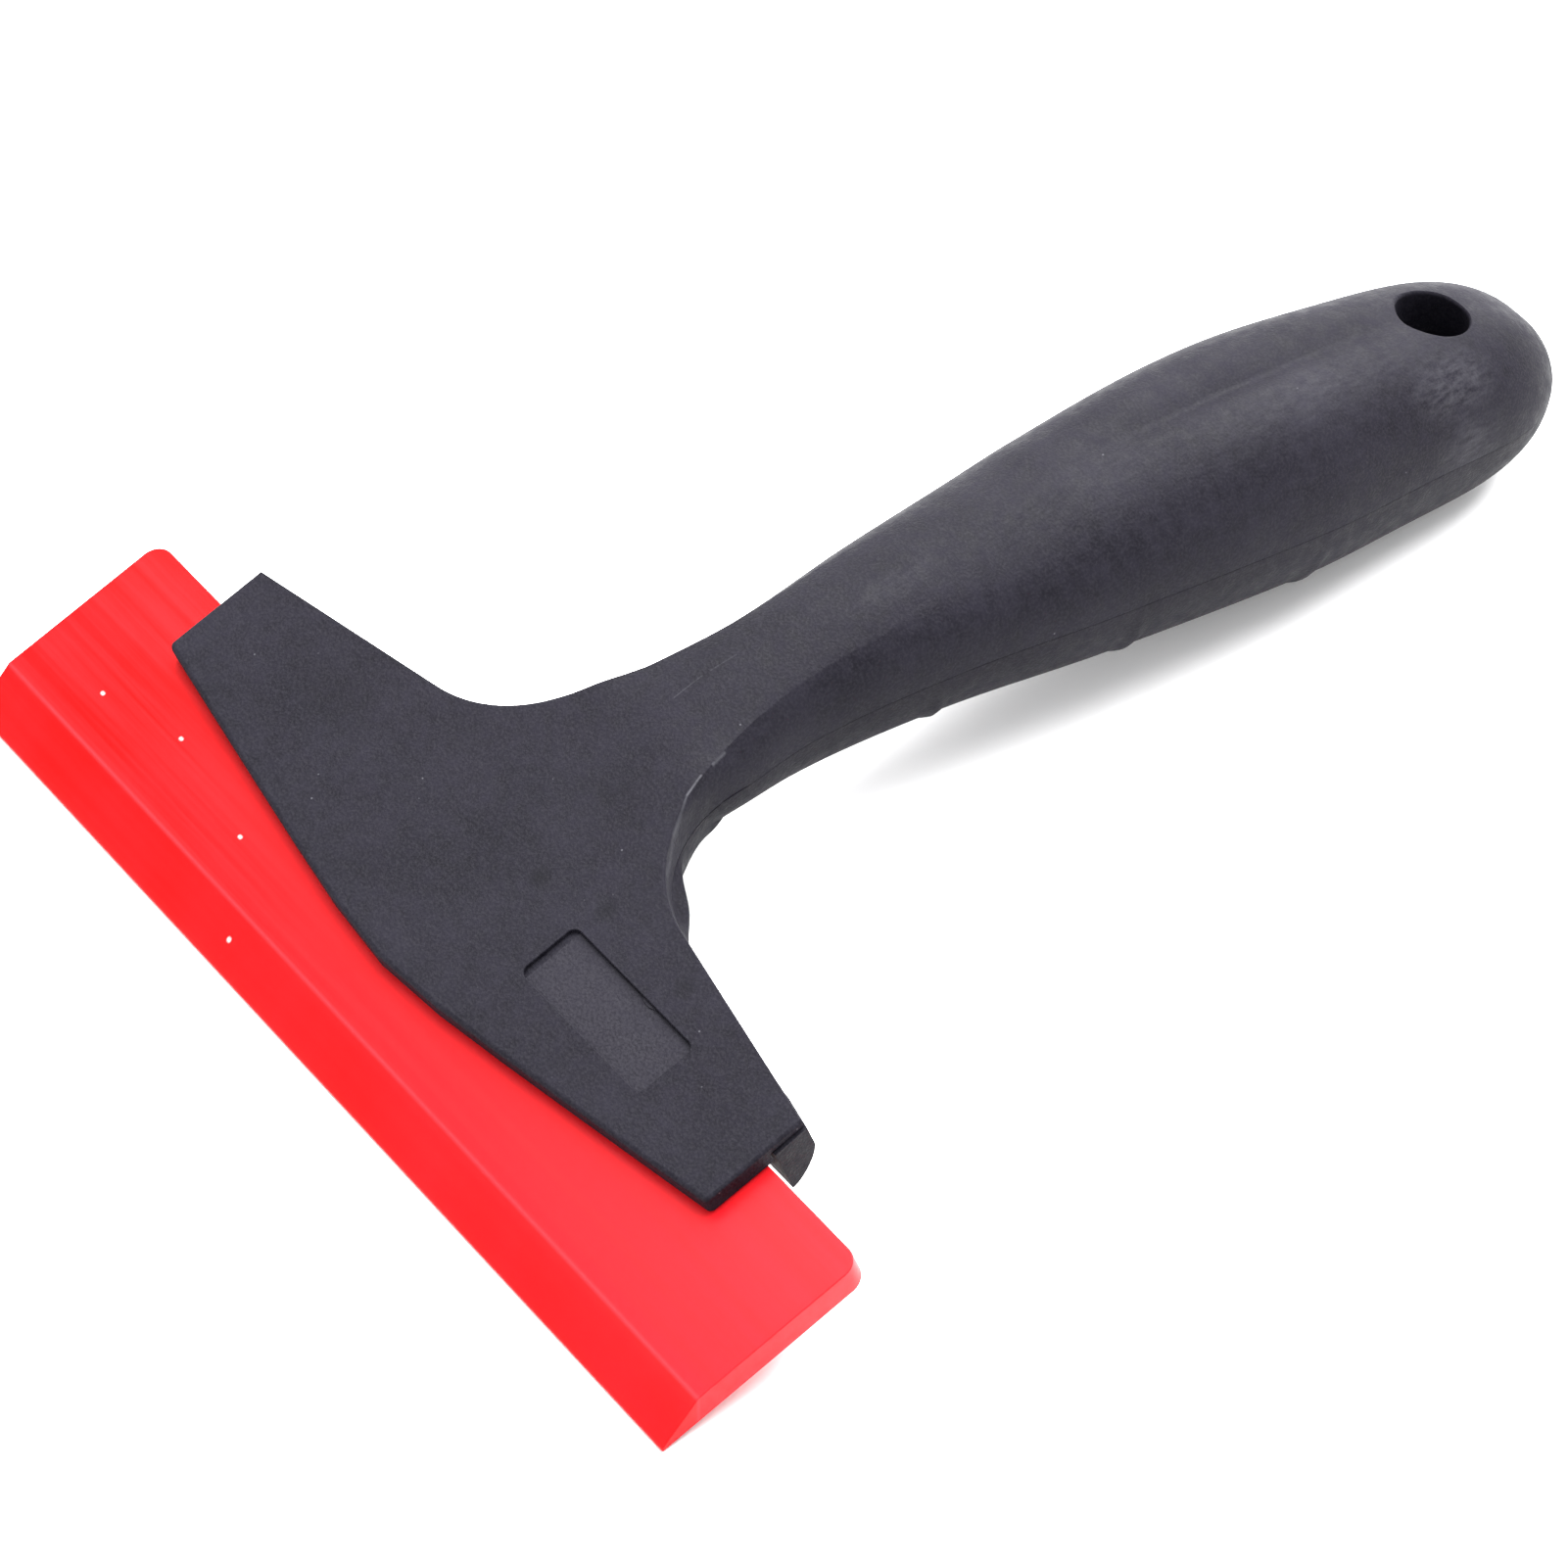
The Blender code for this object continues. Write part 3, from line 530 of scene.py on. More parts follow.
def half_section(width, crease_x, crease_drop, flank_depth, crispness):
    """(x, drop) from the middle to the side: an arch to a crease, then a flank that ends upright.

    The flank is a cubic. At a crispness of 0 it carries on from the arch, and there is no crease.
    """
    half = []
    for i in range(FLAT_STEPS + 1):
        share = i / FLAT_STEPS
        half.append((crease_x * share, crease_drop * share * share))
    reach, fall = width - crease_x, flank_depth - crease_drop
    arch_slope = 2.0 * crease_drop / crease_x
    slope = arch_slope + crispness * (fall / (2.0 * reach) - arch_slope)
    lead = reach * (ROUND_LEAD + crispness * (CREASE_LEAD - ROUND_LEAD))
    lowest_lead = flank_depth - ROUND_LEAD * fall
    for i in range(1, FLANK_STEPS + 1):
        t = i / FLANK_STEPS
        shares = ((1 - t) ** 3, 3 * t * (1 - t) ** 2, 3 * t * t * (1 - t), t**3)
        xs = (crease_x, crease_x + lead, width, width)
        drops = (crease_drop, crease_drop + lead * slope, lowest_lead, flank_depth)
        x = sum(share * value for share, value in zip(shares, xs))
        half.append((x, sum(share * value for share, value in zip(shares, drops))))
    return half


def both_sides(half):
    """A half section and its mirror image, from side to side."""
    return [(-x, drop) for x, drop in reversed(half[1:])] + half


def front_section(edge_x, edge_y, sweep, sunk=0.0):
    """A section of the front shell through its edge, swept forward and sunk below the face."""
    rounding = smoothstep(FLANK_START, FLANK_FULL, edge_y)
    room = parting_depth(edge_y) - depths(edge_y)[0]
    crease_share = curve_through(CREASE_SHARES, edge_y) / MM
    crease_x = (edge_x - EDGE_RADIUS) * (1.0 - rounding) + crease_share * edge_x * rounding
    crease_drop = curve_through(CREASE_DROPS, edge_y)
    flank_depth = EDGE_RADIUS + (FLANK_REACH * room - EDGE_RADIUS) * rounding
    crispness = 1.0 - smoothstep(FLANK_FULL, CREASE_END, edge_y)
    outer, inner = [], []
    for x, drop in both_sides(half_section(edge_x, crease_x, crease_drop, flank_depth, crispness)):
        y = swept(x, edge_x, edge_y, sweep)
        outer.append(on_handle(x, y, depths(y)[0] + drop + sunk))
        inner.append(on_handle(x, y, slot_or_parting(y)))
    return outer, inner


def slot_or_parting(y):
    """Depth of the front shell's underside before its seat on the rear shell is cut."""
    return max(parting_depth(y), FACE_HEIGHT - BLADE_THICKNESS - GAP)


def front_blank(look):
    """The front shell before it is cut, from the rounded lip of the head to the end of the grip."""
    sections = []
    lip_y, corner_y = face_y(LIP_END), face_y(BACK_CORNER)
    outline = back_outline(OUTLINE_STEPS)
    neck_y = face_y(outline[-1][1])

    def sweep_at(y):
        return LIP_SWEEP * (1.0 - smoothstep(corner_y - SWEEP_FADE, neck_y, y))

    for i in range(ROUND_STEPS):
        angle = math.pi / 2 * i / ROUND_STEPS
        y = lip_y + LIP_RADIUS * (1.0 - math.cos(angle))
        sunk = LIP_RADIUS * (1.0 - math.sin(angle))
        sections.append(front_section(HEAD_HALF_WIDTH - sunk, y, sweep_at(y), sunk))
    for i in range(LIP_STEPS):
        y = lip_y + LIP_RADIUS + (corner_y - lip_y - LIP_RADIUS) * i / LIP_STEPS
        sections.append(front_section(HEAD_HALF_WIDTH, y, sweep_at(y)))
    for x, distance, _ in outline:
        y = face_y(distance)
        sections.append(front_section(x, y, sweep_at(y)))
    for y in grip_stations(neck_y + 2.0 * MM):
        sections.append(front_section(half_width(y), y, 0.0))
    return loft("front_shell", sections, look)


def ridge_lift(y):
    """How far the finger ridges stand out at y."""
    nearest = min(abs(y - ridge) for ridge in RIDGES)
    share = max(1.0 - (nearest / RIDGE_HALF_LENGTH) ** 2, 0.0)
    return RIDGE_HEIGHT * share * share


def rear_section(y):
    """A section of the rear shell's grip: flat on the joint, rounded below."""
    width = half_width(y)
    joint = parting_depth(y) + JOINT_GAP
    bottom = depths(y)[1]
    room = bottom - joint
    flat = BELLY_FLAT_SHARE * width
    outer, inner = [], []
    for x, drop in both_sides(half_section(width, flat, 0.0, FLANK_REACH * room, 0.0)):
        below = (room - drop) / room
        lift = ridge_lift(y) * smoothstep(*RIDGE_FADE, below)
        outer.append(on_handle(x * (1.0 + lift / width), y, bottom - drop + lift * below))
        inner.append(on_handle(x, y, joint))
    return outer, inner


def web_section(side, x, back, share, deep):
    """A section of the web, whose back flares out at the fillet and tucks in at the neck."""
    rise = smoothstep(0.0, FLARE_RISE_END, share)
    fall = 1.0 - smoothstep(FLARE_RISE_END, FLARE_FALL_END, share)
    tuck = FILLET_TUCK * smoothstep(FLARE_FALL_END, 1.0, share)
    flare = FILLET_FLARE * rise * fall - tuck
    angle = math.pi / 2 * share
    edge = max(WEB_SHOULDER, parting_depth(face_y(back)) + GAP + WEB_STEP)
    outer = [on_handle(side * x, face_y(SLOT_BACK), deep)]
    for i in range(WEB_STEPS + 1):
        turn = math.pi / 2 * i / WEB_STEPS
        inset = WEB_ROUNDING * (1.0 - math.sin(turn) ** WEB_ROUNDING_POWER)
        drop = (deep - edge) * math.cos(turn) ** WEB_ROUNDING_POWER
        y = face_y(back - inset + flare * math.cos(angle))
        outer.append(on_handle(side * (x + flare * math.sin(angle)), y, edge + drop))
    inner = [on_handle(side * x, face_y(SLOT_BACK), COVER_THICKNESS + GAP)]
    for i in range(WEB_STEPS + 1):
        y = face_y(WEB_TOP_FRONT + (back - WEB_TOP_FRONT) * i / WEB_STEPS)
        inner.append(on_handle(side * x, y, parting_depth(y) + JOINT_GAP + WEB_TOP_DROP))
    return outer, inner


def rear_web(look):
    """The head's wall behind the slot, shallower at the two ends that stand past the jaw."""
    shoulder = back_edge(JAW_HALF_WIDTH)
    outline = [
        (HEAD_HALF_WIDTH + WEB_OVERHANG, BACK_CORNER, 0.0, WEB_END_DEPTH),
        (JAW_HALF_WIDTH + 2.0 * WEB_STEP, shoulder, 0.0, WEB_END_DEPTH),
        (JAW_HALF_WIDTH + WEB_STEP, shoulder, 0.0, WEB_DEPTH),
    ]
    for x, back, share in back_outline(OUTLINE_STEPS):
        if x < JAW_HALF_WIDTH:
            outline.append((x, back, share, WEB_DEPTH))
    sections = [web_section(-1, *point) for point in outline]
    sections += [web_section(1, *point) for point in reversed(outline)]
    return loft("rear_shell", sections, look)


def slab(name, near, far):
    """A body between two outlines with the same number of points."""
    count = len(near)
    faces = [tuple(range(count)), tuple(range(2 * count - 1, count - 1, -1))]
    faces += [(i, (i + 1) % count, (i + 1) % count + count, i + count) for i in range(count)]
    return mesh_object(name, near + far, faces, None)


def prism(name, outline, top, bottom):
    """A plate with an outline in x and y on the crown, between two depths."""
    near = [on_handle(x, y, top) for x, y in outline]
    far = [on_handle(x, y, bottom) for x, y in outline]
    return slab(name, near, far)


def rear_jaw():
    """The lower jaw under the blade, with its front edge set back behind the front lip."""
    xs = [JAW_HALF_WIDTH * i / JAW_STEPS for i in range(-JAW_STEPS, JAW_STEPS + 1)]
    lip = [(x, face_y(swept(x, HEAD_HALF_WIDTH, LIP_END, LIP_SWEEP) + JAW_SETBACK)) for x in xs]
    back = face_y(JAW_BACK)
    outline = lip + [(JAW_HALF_WIDTH, back), (-JAW_HALF_WIDTH, back)]
    return prism("rear_jaw_body", outline, FACE_HEIGHT + GAP, JAW_DEPTH)


def turned(name, x, y, profile, segments=ROUND_SIDES):
    """A round body on the line straight down from the crown at x, y, from (radius, depth) pairs."""
    points = []
    height, slope = crown(y)
    tilt = math.atan(slope)
    down = Vector((0.0, math.sin(tilt), -math.cos(tilt)))
    side = Vector((1.0, 0.0, 0.0))
    other = down.cross(side)
    base = Vector((HEAD_X + x, y - MIDDLE_Y, height))
    for radius, depth in profile:
        for k in range(segments):
            angle = 2.0 * math.pi * k / segments
            out = side * math.cos(angle) + other * math.sin(angle)
            points.append(base + down * depth + out * radius)
    return round_body(name, points, len(profile), segments)


def round_body(name, points, rings, segments):
    """A closed body through rings of points, each with the same number of points."""
    faces = [tuple(range(segments)), tuple(range((rings - 1) * segments, rings * segments))]
    for r in range(rings - 1):
        for k in range(segments):
            a, b = r * segments + k, r * segments + (k + 1) % segments
            faces.append((a, b, b + segments, a + segments))
    return mesh_object(name, points, faces, None)


def cavity_cutter(name):
    """The hollow inside the grip, shared by both shells."""
    first, last = CAVITY
    points = []
    for r in range(CAVITY_RINGS + 1):
        t = -1.0 + 2.0 * r / CAVITY_RINGS
        y = (first + last) / 2 + (last - first) / 2 * t
        closing = math.sqrt(1.0 - (CAVITY_END_SHARE * t) ** CAVITY_POWER)
        half = sum(depths(y)) / 2
        for k in range(CAVITY_SIDES):
            angle = 2.0 * math.pi * k / CAVITY_SIDES
            x = (half_width(y) - WALL) * closing * math.cos(angle)
            points.append(on_handle(x, y, half + (half - WALL) * closing * math.sin(angle)))
    return round_body(name, points, CAVITY_RINGS + 1, CAVITY_SIDES)


def recess_outline(grow):
    """(x, y on the crown) round the recess's rounded rectangle, made larger by grow."""
    cx, distance = RECESS_CENTRE
    half_x, half_d = RECESS_SIZE[0] / 2, RECESS_SIZE[1] / 2
    radius = RECESS_RADIUS + grow
    outline = []
    for corner_x, corner_d, start in ((1, 1, 0), (-1, 1, 1), (-1, -1, 2), (1, -1, 3)):
        for i in range(CORNER_STEPS + 1):
            angle = math.pi / 2 * (start + i / CORNER_STEPS)
            x = cx + corner_x * (half_x - RECESS_RADIUS) + radius * math.cos(angle)
            d = distance + corner_d * (half_d - RECESS_RADIUS) + radius * math.sin(angle)
            outline.append((x, face_y(d)))
    return outline


def seat_cutter():
    """What the front shell loses behind the slot, where it thins to a cover over the rear shell."""
    slot_depth = FACE_HEIGHT - BLADE_THICKNESS - GAP
    ramp_end = face_y(BACK_CORNER) + (slot_depth - COVER_THICKNESS) / PARTING_RISE
    front = face_y(SLOT_BACK - GAP)
    lower = slot_depth + CUTTER_MARGIN
    profile = [
        (front, COVER_THICKNESS),
        (face_y(BACK_CORNER), COVER_THICKNESS),
        (ramp_end, slot_depth + SEAT_STEP),
        (ramp_end, lower),
        (front, lower),
    ]
    side = HEAD_HALF_WIDTH + CUTTER_MARGIN
    near = [on_handle(-side, y, depth) for y, depth in profile]
    far = [on_handle(side, y, depth) for y, depth in profile]
    return slab("seat_cutter", near, far)


def surface_rings(tree, direction):
    """Rings of a bore that opens with a rounded rim on the surface that the tree holds."""
    middle = Vector((HEAD_X, HOLE_Y - MIDDLE_Y, 0.0))
    rings = []
    for step in range(-1, RIM_STEPS + 1):
        angle = math.pi / 2 * max(step, 0.5) / RIM_STEPS
        radius = HOLE_RADIUS + HOLE_RIM * (1.0 - math.sin(angle))
        lift = HOLE_MARGIN if step < 0 else -HOLE_RIM * (1.0 - math.cos(angle))
        ring = []
        for k in range(HOLE_SIDES):
            turn = 2.0 * math.pi * k / HOLE_SIDES
            out = Vector((math.cos(turn), math.sin(turn), 0.0))
            start = middle + HOLE_RADIUS * out
            start.z = RAY_HEIGHT * direction
            hit = tree.ray_cast(start, Vector((0.0, 0.0, -direction)))[0]
            point = middle + radius * out
            point.z = hit.z + lift * direction
            ring.append(point)
        rings.append(ring)
    return rings


def hole_cutter(shell, name, direction):
    """An upright bore through one shell, from its rounded rim to past the joint."""
    tree = BVHTree.FromObject(shell, bpy.context.evaluated_depsgraph_get())
    rings = surface_rings(tree, direction)
    far = crown(HOLE_Y)[0] - depths(HOLE_Y)[1] / 2 - HOLE_MARGIN * direction
    rings.append([Vector((p.x, p.y, far)) for p in rings[-1]])
    points = [point for ring in rings for point in ring]
    return round_body(name, points, len(rings), HOLE_SIDES)


def recess_cutter():
    """The recess, with a fine chamfer round its rim."""
    levels = [
        (-CUTTER_MARGIN, RECESS_CHAMFER + CUTTER_MARGIN),
        (RECESS_CHAMFER, 0.0),
        (RECESS_DEPTH, 0.0),
    ]
    points = []
    for depth, grow in levels:
        points += [on_handle(x, y, depth) for x, y in recess_outline(grow)]
    return round_body("recess_cutter", points, len(levels), 4 * (CORNER_STEPS + 1))


def make_front_shell(look):
    """The face, neck and upper half of the grip, with the bosses for the head screws."""
    shell = front_blank(look)
    hole = hole_cutter(shell, "front_hole_cutter", 1.0)
    boolean(shell, seat_cutter(), "DIFFERENCE")
    boolean(shell, cavity_cutter("front_cavity_cutter"), "DIFFERENCE")
    boolean(shell, recess_cutter(), "DIFFERENCE")
    boolean(shell, hole, "DIFFERENCE")
    for name, (x, y, seat, tip) in SCREWS.items():
        if name.startswith("head"):
            boss = [(BOSS_RADIUS, BOSS_TOP), (BOSS_RADIUS, BOSS_DEPTH)]
            boolean(shell, turned(name + "_boss", x, y, boss), "UNION")
        pilot = [(SHANK_RADIUS + GAP, tip - GAP), (SHANK_RADIUS + GAP, seat)]
        boolean(shell, turned(name + "_pilot_cutter", x, y, pilot), "DIFFERENCE")
    return finished(shell)


def make_rear_shell(look):
    """The web, the jaw and the lower half of the grip, with wells for the screw heads."""
    shell = rear_web(look)
    stations = grip_stations(face_y(GRIP_START))
    grip = loft("rear_grip_body", [rear_section(y) for y in stations], None)
    hole = hole_cutter(grip, "rear_hole_cutter", -1.0)
    boolean(shell, grip, "UNION")
    boolean(shell, rear_jaw(), "UNION")
    boolean(shell, cavity_cutter("rear_cavity_cutter"), "DIFFERENCE")
    boolean(shell, hole, "DIFFERENCE")
    for name, (x, y, seat, _) in SCREWS.items():
        if name.startswith("head"):
            room = [(BOSS_RADIUS + GAP, 0.0), (BOSS_RADIUS + GAP, BOSS_DEPTH + GAP)]
            boolean(shell, turned(name + "_room_cutter", x, y, room), "DIFFERENCE")
        hole = [
            (SHANK_RADIUS + GAP, 0.0),
            (SHANK_RADIUS + GAP, seat),
            (SCREW_HEAD_RADIUS + GAP, seat),
            (SCREW_HEAD_RADIUS + GAP, seat + SCREW_WELL),
        ]
        boolean(shell, turned(name + "_hole_cutter", x, y, hole), "DIFFERENCE")
    return finished(shell)


def make_blade(look):
    """The blade: a bar with a beveled edge, rounded back corners and slightly broken edges."""
    half = BLADE_LENGTH / 2
    radius = BLADE_CORNER_RADIUS
    corner = []
    for i in range(CORNER_STEPS + 1):
        angle = math.pi / 2 * i / CORNER_STEPS
        x = half - radius + radius * math.cos(angle)
        corner.append((x, BLADE_WIDTH - radius + radius * math.sin(angle)))
    back = corner + [(-x, d) for x, d in reversed(corner)]
    top = [(half, BEVEL_WIDTH)] + back + [(-half, BEVEL_WIDTH)]
    bottom = [(half, 0.0)] + back + [(-half, 0.0)]
    points = [on_blade(x, d, BLADE_THICKNESS) for x, d in top]
    points += [on_blade(x, d, 0.0) for x, d in bottom]
    count = len(top)
    points += [on_blade(half, 0.0, EDGE_LAND), on_blade(-half, 0.0, EDGE_LAND)]
    right, left = 2 * count, 2 * count + 1
    faces = [tuple(range(count)), tuple(range(2 * count - 1, count - 1, -1))]
    faces += [(i, i + 1, i + 1 + count, i + count) for i in range(1, count - 2)]
    faces.append((0, 1, 1 + count, count, right))
    faces.append((count - 2, count - 1, left, 2 * count - 1, 2 * count - 2))
    faces.append((count - 1, 0, right, left))
    faces.append((left, right, count, 2 * count - 1))
    blade = mesh_object("squeegee_blade", points, faces, look)
    broken = blade.modifiers.new("broken_edges", "BEVEL")
    broken.width = BLADE_EDGE_RADIUS
    broken.segments = EDGE_SEGMENTS
    broken.limit_method = "ANGLE"
    broken.angle_limit = math.radians(SHARP_ANGLE)
    return finished(blade)


def drive_cutter(name, x, y, end):
    """A cross recess that narrows towards its floor."""
    height, slope = crown(y)
    tilt = math.atan(slope)
    down = Vector((0.0, math.sin(tilt), -math.cos(tilt)))
    side = Vector((1.0, 0.0, 0.0))
    other = down.cross(side)
    base = Vector((HEAD_X + x, y - MIDDLE_Y, height))
    outlines = []
    levels = ((end - DRIVE_DEPTH, *DRIVE_FLOOR), (end + DRIVE_DEPTH / 2, *DRIVE_TOP))
    for depth, reach, width in levels:
        arm = [(reach, -width), (reach, width), (width, width)]
        ring = []
        for quarter in range(4):
            turn = math.pi / 2 * quarter
            for a, b in arm:
                out = side * (a * math.cos(turn) - b * math.sin(turn))
                up = other * (a * math.sin(turn) + b * math.cos(turn))
                ring.append(base + down * depth + out + up)
        outlines.append(ring)
    return slab(name, *outlines)


def make_screw(name, x, y, seat, tip, look):
    """A pan-head screw with a domed head and a cut thread, driven up from the underside."""
    top_of_head = seat + GAP / 2
    end = top_of_head + SCREW_HEAD_HEIGHT
    profile = [(TIP_RADIUS, tip), (SHANK_RADIUS - THREAD_DEPTH, tip + TIP_LENGTH)]
    turns = int((top_of_head - tip - 2.0 * TIP_LENGTH) / THREAD_PITCH)
    for i in range(turns):
        depth = tip + TIP_LENGTH + THREAD_PITCH * (i + 0.5)
        profile.append((SHANK_RADIUS, depth))
        profile.append((SHANK_RADIUS - THREAD_DEPTH, depth + THREAD_PITCH / 2))
    profile.append((SHANK_RADIUS - THREAD_DEPTH, top_of_head))
    profile.append((SCREW_HEAD_RADIUS, top_of_head))
    for i in range(DOME_STEPS + 1):
        angle = DOME_ANGLE * i / DOME_STEPS
        inward = (1.0 - math.cos(angle)) / (1.0 - math.cos(DOME_ANGLE))
        short = 1.0 - math.sin(angle) / math.sin(DOME_ANGLE)
        profile.append((SCREW_HEAD_RADIUS - DOME_RUN * inward, end - DOME_RISE * short))
    screw = turned(name + "_finish", x, y, profile)
    screw.data.materials.append(look)
    boolean(screw, drive_cutter(name + "_drive_cutter", x, y, end), "DIFFERENCE")
    return finished(screw)


def add(tree, kind, inputs=None, **settings):
    """A shader node, with its settings, and its inputs set or linked by name."""
    made = tree.nodes.new(kind)
    for key, value in settings.items():
        setattr(made, key, value)
    for key, value in (inputs or {}).items():
        if isinstance(value, bpy.types.NodeSocket):
            tree.links.new(value, made.inputs[key])
        else:
            made.inputs[key].default_value = value
    return made


def noise(tree, where, scale, detail, roughness=0.55):
    """A noise pattern."""
    inputs = {"Vector": where, "Scale": scale, "Detail": detail, "Roughness": roughness}
    return add(tree, "ShaderNodeTexNoise", inputs).outputs["Fac"]


def between(tree, value, low, high, new_low=0.0, new_high=1.0):
    """value from low..high brought to new_low..new_high, and held there outside."""
    names = ("Value", "From Min", "From Max", "To Min", "To Max")
    inputs = dict(zip(names, (value, low, high, new_low, new_high)))
    return add(tree, "ShaderNodeMapRange", inputs, clamp=True).outputs["Result"]


def calc(tree, operation, first, second):
    """The result of an operation on two numbers."""
    made = add(tree, "ShaderNodeMath", {0: first, 1: second}, operation=operation)
    return made.outputs["Value"]


def mixed(tree, share, first, second):
    """Two colours mixed by a share."""
    made = add(tree, "ShaderNodeMix", {"Factor": share}, data_type="RGBA")
    for socket, value in ((made.inputs[6], first), (made.inputs[7], second)):
        if isinstance(value, bpy.types.NodeSocket):
            tree.links.new(value, socket)
        else:
            socket.default_value = (*value, 1.0)
    return made.outputs[2]


def vector(tree, operation, first, second, output="Vector"):
    """The result of an operation on two vectors."""
    made = add(tree, "ShaderNodeVectorMath", {0: first, 1: second}, operation=operation)
    return made.outputs[output]


def stretched(tree, where, scale):
    """The coordinates scaled along each axis."""
    return add(tree, "ShaderNodeMapping", {"Vector": where, "Scale": scale}).outputs["Vector"]


def bumped(tree, shader, height, strength, distance):
    """Links a bump to a shader."""
    inputs = {"Height": height, "Strength": strength, "Distance": distance}
    bump = add(tree, "ShaderNodeBump", inputs)
    tree.links.new(bump.outputs["Normal"], shader.inputs["Normal"])


def patch(tree, where, centre, reach):
    """1 at a centre in millimetres, fading to 0 at a reach in millimetres along each axis."""
    scale = [1.0 / (MM * r) for r in reach]
    offset = [-c * MM * s for c, s in zip(centre, scale)]
    moved = add(tree, "ShaderNodeMapping", {"Vector": where, "Location": offset, "Scale": scale})
    away = add(tree, "ShaderNodeVectorMath", {0: moved.outputs["Vector"]}, operation="LENGTH")
    return between(tree, away.outputs["Value"], 0.0, 1.0, 1.0, 0.0)


def new_material(name, colour):
    """A material, with its node tree, its shader and the coordinates that its patterns use."""
    made = bpy.data.materials.new(name)
    made.use_nodes = True
    made.diffuse_color = (*colour, 1.0)
    shader = made.node_tree.nodes["Principled BSDF"]
    where = made.node_tree.nodes.new("ShaderNodeTexCoord").outputs["Object"]
    return made, made.node_tree, shader, where


def stroke(tree, where, start, end, width):
    """1 on a line between two points in millimetres, seen from above, and 0 at a width from it."""
    run = [(b - a) * MM for a, b in zip(start, end)] + [0.0]
    origin = (start[0] * MM, start[1] * MM, 0.0)
    flat = vector(tree, "MULTIPLY", where, (1.0, 1.0, 0.0))
    away = vector(tree, "SUBTRACT", flat, origin)
    dot = vector(tree, "DOT_PRODUCT", away, run, "Value")
    share = between(tree, dot, 0.0, run[0] ** 2 + run[1] ** 2)
    along = add(tree, "ShaderNodeVectorMath", {0: run, "Scale": share}, operation="SCALE")
    side = vector(tree, "DISTANCE", away, along.outputs["Vector"], "Value")
    return between(tree, side, 0.0, width * MM, 1.0, 0.0)


def recess_mask(tree, where):
    """1 on the floor of the recess."""
    origin = on_blade(0.0, 0.0, 0.0)
    across = Vector((1.0, 0.0, 0.0))
    back = on_blade(0.0, 1.0, 0.0) - origin
    up = on_blade(0.0, 0.0, 1.0) - origin
    away = vector(tree, "SUBTRACT", where, origin)
    middle = (*RECESS_CENTRE, FACE_HEIGHT - RECESS_DEPTH)
    reach = (RECESS_SIZE[0] / 2, RECESS_SIZE[1] / 2, RECESS_DEPTH / 2)
    mask = None
    for axis, centre, half in zip((across, back, up), middle, reach):
        dot = vector(tree, "DOT_PRODUCT", away, axis, "Value")
        offset = calc(tree, "ABSOLUTE", calc(tree, "SUBTRACT", dot, centre), 0.0)
        inside = between(tree, offset, half - RECESS_FADE, half, 1.0, 0.0)
        mask = inside if mask is None else calc(tree, "MULTIPLY", mask, inside)
    return mask


def specks(tree, where, scale, size, share):
    """Small round specks in a share of the cells of a pattern."""
    cells = add(tree, "ShaderNodeTexVoronoi", {"Vector": where, "Scale": scale})
    near = between(tree, cells.outputs["Distance"], size, 0.0)
    cell_colour = add(tree, "ShaderNodeSeparateColor", {"Color": cells.outputs["Color"]})
    chosen = between(tree, cell_colour.outputs["Red"], 1.0 - share, 1.0 - share + SPECK_STEP)
    return calc(tree, "MULTIPLY", near, chosen)


def strongest(tree, masks):
    """The largest of several masks."""
    found = masks[0]
    for mask in masks[1:]:
        found = calc(tree, "MAXIMUM", found, mask)
    return found


def halves(tree, first, second):
    """The mean of two patterns."""
    first = calc(tree, "MULTIPLY", first, 0.5)
    return calc(tree, "ADD", first, calc(tree, "MULTIPLY", second, 0.5))


def add_marks_and_painted_light(tree, where, colour, mottle, grain):
    """The front shell's scuffs, painted sheen, smudges, fine lines (a painted crease highlight and
    a scratch) and recess floor, over a colour.
    """
    # Pale scuffs by the hole, and painted sheen in bands along the crown
    streaks = noise(tree, stretched(tree, where, SCUFF_AND_SHEEN_STRETCH), *SCUFF_AND_SHEEN_NOISE)
    uneven_scuff_and_sheen = between(tree, streaks, *SCUFF_AND_SHEEN_RANGE)
    scuffs_and_sheen = []
    for centre, reach, strength in SCUFFS_AND_SHEEN:
        mask = calc(tree, "MULTIPLY", patch(tree, where, centre, reach), strength)
        scuffs_and_sheen.append(calc(tree, "MULTIPLY", mask, uneven_scuff_and_sheen))
    colour = mixed(tree, strongest(tree, scuffs_and_sheen), colour, SCUFF_AND_SHEEN_COLOUR)
    smudges = []
    for centre, reach, strength in SMUDGES:
        smudges.append(calc(tree, "MULTIPLY", patch(tree, where, centre, reach), strength))
    colour = mixed(tree, strongest(tree, smudges), colour, SMUDGE_COLOUR)
    # Painted highlight along the neck's crease, and a scratch on the crown
    highlight_and_scratch_lines = []
    for start, end, width, strength in CREASE_HIGHLIGHT_AND_SCRATCH:
        mask = stroke(tree, where, start, end, width)
        uneven = between(tree, mottle, *LINE_RANGE, strength / 2, strength)
        highlight_and_scratch_lines.append(calc(tree, "MULTIPLY", mask, uneven))
    colour = mixed(tree, strongest(tree, highlight_and_scratch_lines), colour, HIGHLIGHT_AND_SCRATCH_COLOUR)
    rough = between(tree, grain, *RECESS_RANGE)
    floor = calc(tree, "MULTIPLY", recess_mask(tree, where), rough)
    return mixed(tree, floor, colour, RECESS_COLOUR)


